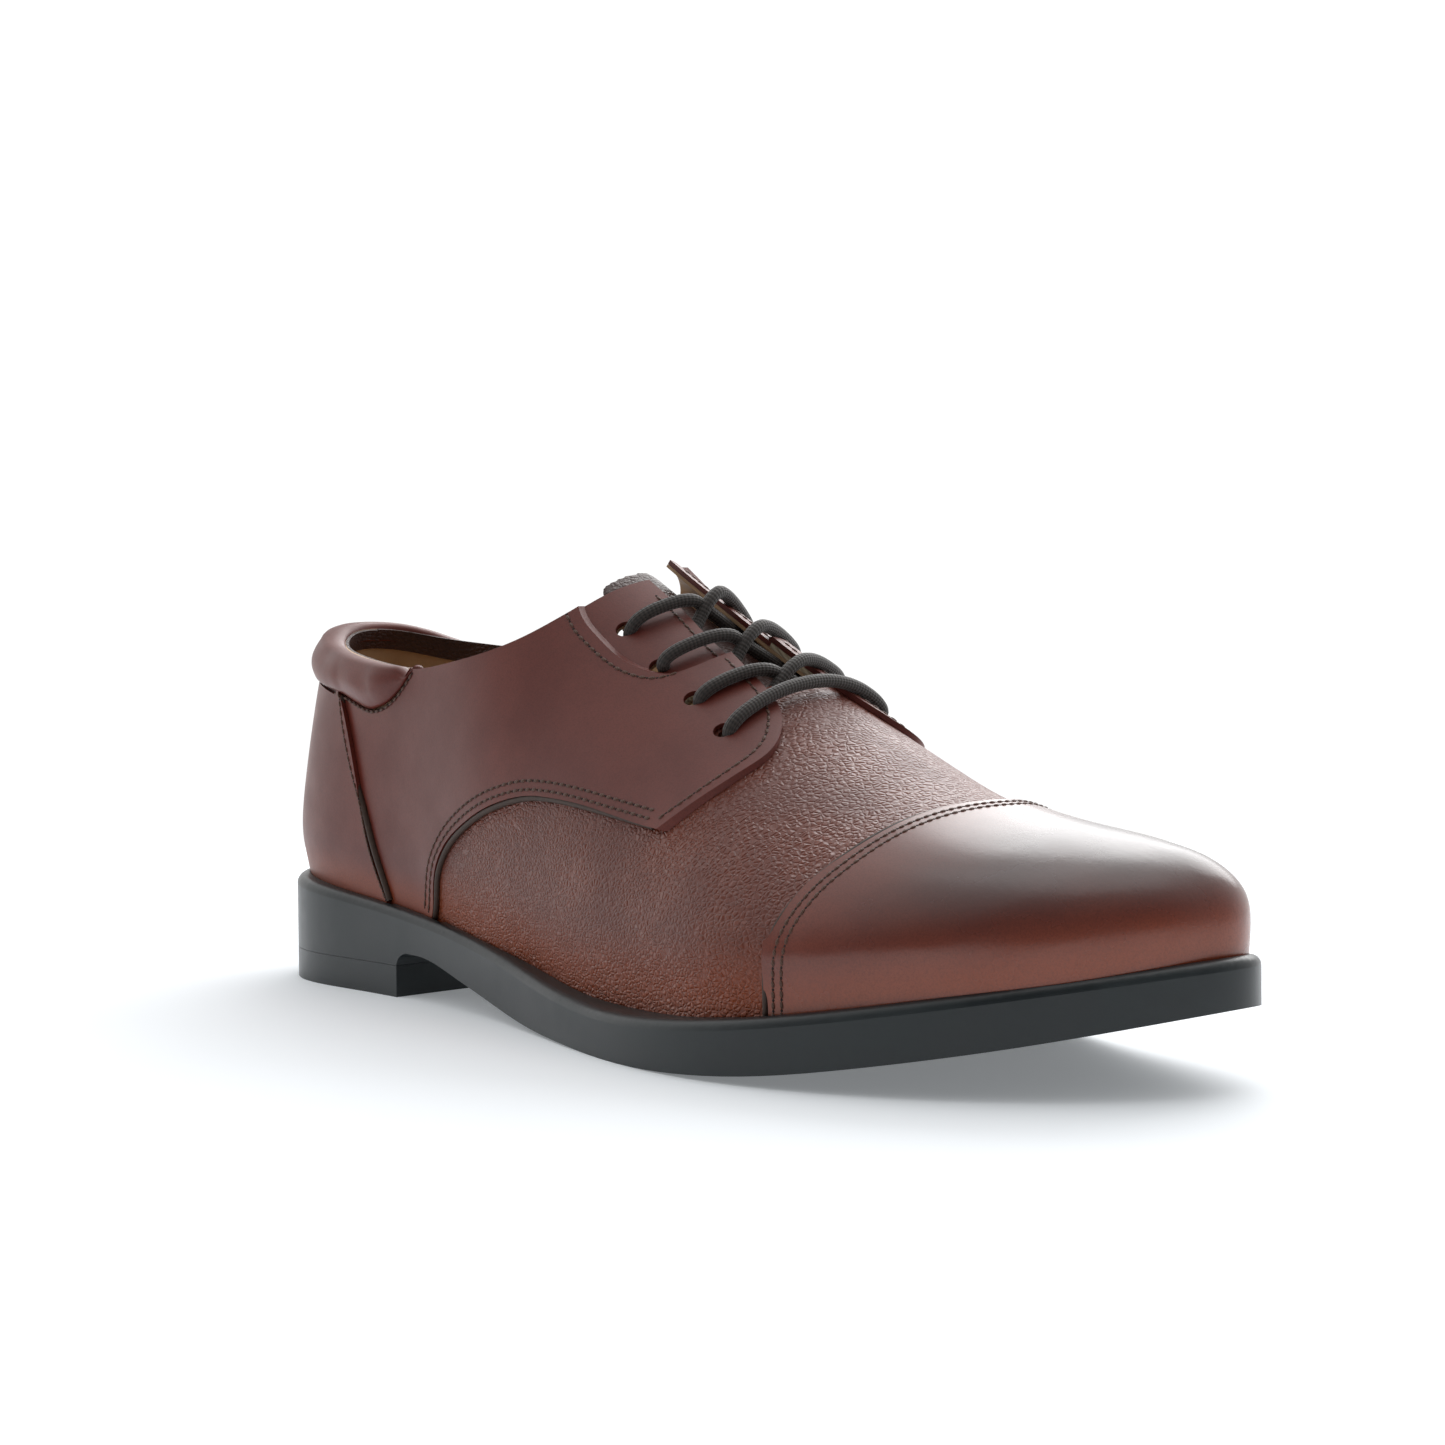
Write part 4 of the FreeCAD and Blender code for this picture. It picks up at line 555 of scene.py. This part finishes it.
# ---------------------------------------------------------------- padded collar
# A soft roll of foam under thin calf round the back of the mouth. It is sewn down along
# its lower edge, stands proud of the quarters, and turns over the rim onto the lining.
collar_edge = [(-12, 82.6), (6, 82.2), (20, 80), (36.5, 77.6), (45.1, 75), (53.6, 72.9), (60.7, 74.2), (65.8, 76.6),
               (69.6, 79.2), (74.5, 83.4)]
outside = hide("quarter_lateral", "quarter_medial", "heel_counter_cover", "collar_cover")
inside = hide("heel_lining", "quarter_lining_lateral", "quarter_lining_medial")
around, across_roll = 168, 26
face_share, rim_share = 0.6, 0.86
collar_end, puff, rim_lift, turn_in = 74.5, 2.5, 1.0, 3.6


def height_on(line, x):
    """Height of a side-view line at one place along the shoe."""
    xs, zs = zip(*line)
    return float(np.interp(x, xs, zs))


def reach(skins, origin, way, z, outer):
    """Distance from the middle of the mouth out to the near wall, or None above its rim."""
    middle = Vector((origin.x, origin.y, z * mm))
    hit = skins.ray_cast(middle + way * 0.09, -way) if outer else skins.ray_cast(middle, way)
    if not hit[0]:
        return None
    far = (hit[0] - middle).dot(way)
    return far if 0.012 < far < 0.07 else None


def rim_height(origin, way):
    """Height of the top of the wall, found by lowering a ray until it meets the wall."""
    z = 104.0
    while z > 76 and reach(outside, origin, way, z, True) is None:
        z -= 0.25
    return z


back_turn = at(40, 3, 0)
stations = []
for k in range(around + 1):
    t = 2.0 * k / around - 1
    if abs(t) > 0.5:
        x = 40 + (collar_end - 40) * (abs(t) - 0.5) / 0.5
        stations.append((at(x, 3, 0), Vector((0, -1 if t < 0 else 1, 0))))
    else:
        stations.append((back_turn, Vector((-math.cos(math.pi * t), math.sin(math.pi * t), 0))))
rows = []
for origin, way in stations:
    r = reach(outside, origin, way, 74, True) or 0.03
    x = ((origin + way * r).x - sole_low.x) / mm
    low, rim = height_on(collar_edge, x), rim_height(origin, way)
    rim = max(rim, low + 0.6)
    rows.append([x, low, rim, reach(outside, origin, way, low - 1.2, True),
                 reach(outside, origin, way, rim - 1.4, True), reach(inside, origin, way, rim - 2.5, False)])
measured = np.array([[v if v is not None else np.nan for v in r] for r in rows], float)
for c in range(measured.shape[1]):
    bad = np.isnan(measured[:, c])
    measured[bad, c] = np.interp(np.flatnonzero(bad), np.flatnonzero(~bad), measured[~bad, c])
    for k in range(6):
        measured[1:-1, c] = (measured[:-2, c] + 2 * measured[1:-1, c] + measured[2:, c]) / 4
bm = bmesh.new()
bmesh.ops.create_grid(bm, x_segments=around, y_segments=across_roll, size=0.5)
bm.verts.ensure_lookup_table()
for vert in bm.verts:
    u = int(round((vert.co.x + 0.5) * around))
    v = vert.co.y + 0.5
    origin, way = stations[u]
    x, low, rim, r_low, r_rim, r_in = measured[u]
    thick = max(r_rim - r_in, 0.0026)
    full = min(1.0, (collar_end - x) / 16.0) if x > 30 else 1.0
    full = max(0.0, full) ** 0.7
    if v < face_share:
        t = v / face_share
        z = low + (rim - 0.6 - low) * t
        swell = puff * full * (math.sin(math.pi * min(1.0, t * 0.92 + 0.03)) ** 0.75)
        pucker = 0.22 * full * math.exp(-t * 6) * noise.noise(Vector((u * 0.42, 3.1, 0)))
        soft = 0.35 * full * noise.noise(Vector((u * 0.09, t * 2.5, 7))) * math.sin(math.pi * t)
        r = r_low + (r_rim - r_low) * t + (swell + pucker + soft - 0.25 * math.exp(-t * 30)) * mm
    elif v < rim_share:
        t = (v - face_share) / (rim_share - face_share)
        swell = puff * full * (math.sin(math.pi * 0.95) ** 0.75)
        r = r_rim + swell * mm - (thick + swell * mm + 0.0003) * (1 - math.cos(math.pi * t)) / 2
        z = rim - 0.6 + (rim_lift + 0.5) * math.sin(math.pi * t) ** 0.8 - 0.5 * t
    else:
        t = (v - rim_share) / (1 - rim_share)
        r = r_in - 0.0003 + 0.00015 * t
        z = rim - 1.1 - turn_in * t
    spot = origin + way * r
    vert.co = Vector((spot.x, spot.y, z * mm))
bmesh.ops.recalc_face_normals(bm, faces=bm.faces)
if sum(f.normal.dot(f.calc_center_median() - back_turn) for f in bm.faces) < 0:
    bmesh.ops.reverse_faces(bm, faces=bm.faces)
bmesh.ops.solidify(bm, geom=bm.faces[:], thickness=0.0009)
collar = settle("padded_collar", bm, smooth_calf)
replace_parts(collar, "collar_cover", "collar_foam")
collar_line = []
for (origin, way), (x, low, rim, r_low, r_rim, r_in) in zip(stations, measured):
    spot = origin + way * (r_low + 0.0001)
    collar_line.append((Vector((spot.x, spot.y, (low - 0.9) * mm)), way.copy()))
sew("collar_stitches", [calm(collar_line[:48]), calm(collar_line[-48:])], 2.4)

# ---------------------------------------------------------------- tongue and bindings
# Dark calf tongue under the lace, its dark colour painted shade of the throat, and the thin binding round the inside of
# the mouth.
# Painted shade: the tongue's calf is far darker than the upper's, for the shade lying in the throat between the
# facings.
tree, place, rise, along, dye_and_painted_light, skin, gloss = calf(
    "dark calf and painted throat shade", (0.06, 0.02, 0.013, 1), (0.04, 0.013, 0.009, 1), (0.06, 0.02, 0.012, 1), 0.01, 0.5, (0.4, 0.5))
dark_calf_and_throat_shade = finish("dark calf and painted throat shade", dye_and_painted_light, gloss, skin)
dress(dark_calf_and_throat_shade, "topline_binding_lateral", "topline_binding_medial")
bm = bmesh.new()
for name in ("tongue_leather", "tongue_foam", "tongue_lining"):
    bm.from_mesh(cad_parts[name].data)
bmesh.ops.remove_doubles(bm, verts=bm.verts, dist=0.00001)
tongue_data = bpy.data.meshes.new("tongue shape")
bm.to_mesh(tongue_data)
bm.free()
shape = bpy.data.objects.new("tongue shape", tongue_data)
bpy.context.collection.objects.link(shape)
even = shape.modifiers.new("even", "REMESH")
even.mode, even.voxel_size = "VOXEL", 0.0008
bpy.context.view_layer.update()
evened = bpy.data.meshes.new_from_object(shape.evaluated_get(bpy.context.evaluated_depsgraph_get()))
bpy.data.objects.remove(shape)
bm = bmesh.new()
bm.from_mesh(evened)
for k in range(5):
    bmesh.ops.smooth_vert(bm, verts=bm.verts, factor=0.5, use_axis_x=True, use_axis_y=True, use_axis_z=True)
tongue = settle("tongue_pad", bm, dark_calf_and_throat_shade, "tongue")
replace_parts(tongue, "tongue_leather", "tongue_foam", "tongue_lining")

# ---------------------------------------------------------------- lace
# Waxed round braid, 3.2 mm, dark brown. One straight bar crosses outside between the two
# lowest eyelets, then each end goes up inside, over the facing and down the next eyelet.
lace_size = 3.2
lace_path = [
    (140.8, -15.1, 90.1), (143.5, -19.3, 95), (149.1, -3.5, 101.2), (148.3, 2.8, 97.4), (148.8, 7.7, 94.6),
    (154.3, 21.3, 82.6), (155.7, 27.1, 86.7), (162.9, 8.5, 94.7), (164.5, 1.4, 92.1), (163.8, -3.9, 84.2),
    (169.6, -18.3, 73.4), (172, -22.5, 78.8), (176.6, -6.7, 84.9), (176.6, 2.5, 81.1), (177.6, 10, 77.6),
    (181.9, 23.4, 68.8), (184.1, 28, 73.9), (185, 11.8, 81.7), (185.3, -8.5, 80), (184.5, -25, 72),
    (182.4, -21, 66.4), (177.6, -6, 76.1), (178.1, 0.9, 84.3), (176.4, 9.8, 86.7), (171.2, 26.8, 80.6),
    (169.1, 21.9, 75.7), (163.8, 8.5, 85.7), (162.9, 2.4, 88.8), (163.2, -5.1, 92.9), (157.7, -20.8, 86.9),
    (155.2, -16.5, 81.8), (149.3, -2.4, 93), (150.2, 1.9, 100.5), (148.8, 8, 103), (140.6, 27.4, 89.9),
    (140.1, 20.9, 86.9)]
end_paths = {
    "lateral": [(140.4, -15.9, 89.5), (136, -22.2, 83.8), (127, -28.1, 74.8), (118, -30.8, 54.8), (104, -25, 24.4),
                (80, -22, 28)],
    "medial": [(138.4, 20.9, 86.3), (134.2, 20.7, 84.8), (125.2, 22.1, 75.8), (116.2, 21.7, 55.8), (102.2, 13.5, 24.7),
               (78.2, 17.2, 28.4)]}


def centre_line(points):
    """Points along the smooth spline that the route's corners control."""
    data = bpy.data.curves.new("route", "CURVE")
    data.dimensions = "3D"
    spline = data.splines.new("NURBS")
    spline.points.add(len(points) - 1)
    for spot, p in zip(spline.points, points):
        spot.co = (*at(*p), 1)
    spline.order_u = 3
    spline.use_endpoint_u = True
    spline.resolution_u = 12
    route = bpy.data.objects.new("route", data)
    bpy.context.collection.objects.link(route)
    bpy.context.view_layer.update()
    mesh = bpy.data.meshes.new_from_object(route.evaluated_get(bpy.context.evaluated_depsgraph_get()))
    line = np.array([v.co for v in mesh.vertices], float)
    bpy.data.objects.remove(route)
    run = np.concatenate([[0], np.cumsum(np.linalg.norm(np.diff(line, axis=0), axis=1))])
    spots = np.linspace(0, run[-1], int(run[-1] / (0.9 * mm)) + 1)
    return [Vector([np.interp(s, run, line[:, k]) for k in range(3)]) for s in spots], run[-1]


tree, place = start("lace braid")
strip = node(tree, "ShaderNodeSeparateXYZ", {"Vector": node(tree, "ShaderNodeUVMap", uv_map="braid").outputs["UV"]})


def strands(turns):
    """Ribs that wind round the lace one way."""
    wound = node(tree, "ShaderNodeMath", {0: strip.outputs["Y"], 1: turns}, operation="MULTIPLY").outputs[0]
    phase = node(tree, "ShaderNodeMath", {0: strip.outputs["X"], 1: 3.3, 2: wound}, operation="MULTIPLY_ADD").outputs[0]
    return node(tree, "ShaderNodeMath", {0: phase}, operation="SINE").outputs[0]


ribs = node(tree, "ShaderNodeMath", {0: strands(8 * 2 * math.pi), 1: strands(-8 * 2 * math.pi)},
            operation="MULTIPLY").outputs[0]
fuzz = speckle(tree, place, 2400, 3)
weave = ramp(tree, ribs, -0.9, 0.9)
lace_braid = finish("lace braid", blend_of(tree, weave, (0.014, 0.010, 0.008, 1), (0.042, 0.031, 0.025, 1)), 0.62,
                    bumped(tree, fuzz, 0.35, 0.0001, bumped(tree, weave, 0.6, 0.00022)), sheen_weight=0.15)


def braid(name, points, sides=12):
    """Round lace of one width drawn along its centre line, with a map that follows it."""
    line, length = centre_line(points)
    bm = bmesh.new()
    lay = bm.loops.layers.uv.new("braid")
    square = (line[1] - line[0]).normalized().orthogonal().normalized()
    ring = None
    for k, p in enumerate(line):
        onward = (line[min(k + 1, len(line) - 1)] - line[max(k - 1, 0)]).normalized()
        square = (square - onward * square.dot(onward)).normalized()
        turned = Matrix((square, onward.cross(square), onward)).transposed().to_4x4()
        made = bmesh.ops.create_circle(bm, segments=sides, radius=lace_size * mm / 2,
                                       matrix=Matrix.Translation(p) @ turned, cap_ends=k in (0, len(line) - 1))
        verts = made["verts"]
        if ring:
            for j in range(sides):
                i = (j + 1) % sides
                face = bm.faces.new((ring[j], ring[i], verts[i], verts[j]))
                for loop, (a, b) in zip(face.loops, ((j, k - 1), (j + 1, k - 1), (j + 1, k), (j, k))):
                    loop[lay].uv = (b * length / (len(line) - 1) / mm, a / sides)
        ring = verts
    bmesh.ops.recalc_face_normals(bm, faces=bm.faces)
    piece = settle(name, bm, lace_braid)
    return piece, line, length


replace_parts(braid("laced_braid", lace_path)[0], "lace")

# ---------------------------------------------------------------- lace tips
# Each free end of the lace lies inside along the wall and ends in a dark wrapped sheath.
tree, place = start("aglet film")
film = finish("aglet film", blend_of(tree, speckle(tree, place, 500), (0.02, 0.013, 0.01, 1), (0.04, 0.027, 0.02, 1)),
              ramp(tree, speckle(tree, place, 900), 0.3, 0.7, 0.15, 0.3))
dress(film, "aglet_lateral", "aglet_medial")
for word, points in end_paths.items():
    loose, loose_line, loose_length = braid("lace_tail_" + word, points)
    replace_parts(loose, "lace_end_" + word)

# ---------------------------------------------------------------- stage
# Pale table that glows softly, a bright surround, and a large soft light behind the shoe.
tree, place = start("pale table")
table_tone = speckle(tree, place, 4, 2)
table_top = finish("pale table", blend_of(tree, table_tone, (0.80, 0.83, 0.86, 1), (0.83, 0.86, 0.885, 1)), 0.7,
                   emission_color=(0.93, 0.97, 1.0, 1), emission_strength=0.2)
bm = bmesh.new()
bmesh.ops.create_circle(bm, segments=160, radius=0.52, cap_ends=True)
table_data = bpy.data.meshes.new("floor")
bm.to_mesh(table_data)
bm.free()
table_data.materials.append(table_top)
floor = bpy.data.objects.new("floor", table_data)
bpy.context.collection.objects.link(floor)
floor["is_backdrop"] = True

world = bpy.data.worlds.new("surround")
bpy.context.scene.world = world
world.use_nodes = True
sky = world.node_tree
toward = node(sky, "ShaderNodeVectorMath", {0: node(sky, "ShaderNodeTexCoord").outputs["Generated"],
                                            1: tuple(Vector((forward.x, forward.y, 0.35)).normalized())},
              operation="DOT_PRODUCT").outputs["Value"]
glow = node(sky, "ShaderNodeMapRange", {"Value": toward, "From Min": -0.7, "From Max": 0.7, "To Min": 0.14,
                                        "To Max": 1.15}, interpolation_type="SMOOTHSTEP").outputs["Result"]
seen = node(sky, "ShaderNodeMix", {0: node(sky, "ShaderNodeLightPath").outputs["Is Camera Ray"], 2: glow, 3: 1.05},
            data_type="FLOAT").outputs[0]
sky.links.new(seen, sky.nodes["Background"].inputs["Strength"])
sky.nodes["Background"].inputs["Color"].default_value = (1, 1, 1, 1)


def soft_light(name, place, aim, size, watts):
    """A rectangular lamp at a place, turned to its aim."""
    data = bpy.data.lights.new(name, "AREA")
    data.shape = "RECTANGLE"
    data.size, data.size_y = size
    data.energy = watts
    lamp = bpy.data.objects.new(name, data)
    lamp.location = place
    lamp.rotation_mode = "QUATERNION"
    lamp.rotation_quaternion = (Vector(aim) - Vector(place)).to_track_quat("-Z", "Y")
    bpy.context.collection.objects.link(lamp)


soft_light("back_light", (-0.35, 0.9, 0.75), (0.02, 0, 0.05), (1.2, 0.8), 9)
soft_light("top_light", (0.1, 0.2, 1.1), (0.02, 0, 0.05), (0.9, 0.7), 2)
bpy.context.scene.view_settings.view_transform = "Standard"

# ---------------------------------------------------------------- size
low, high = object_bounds()
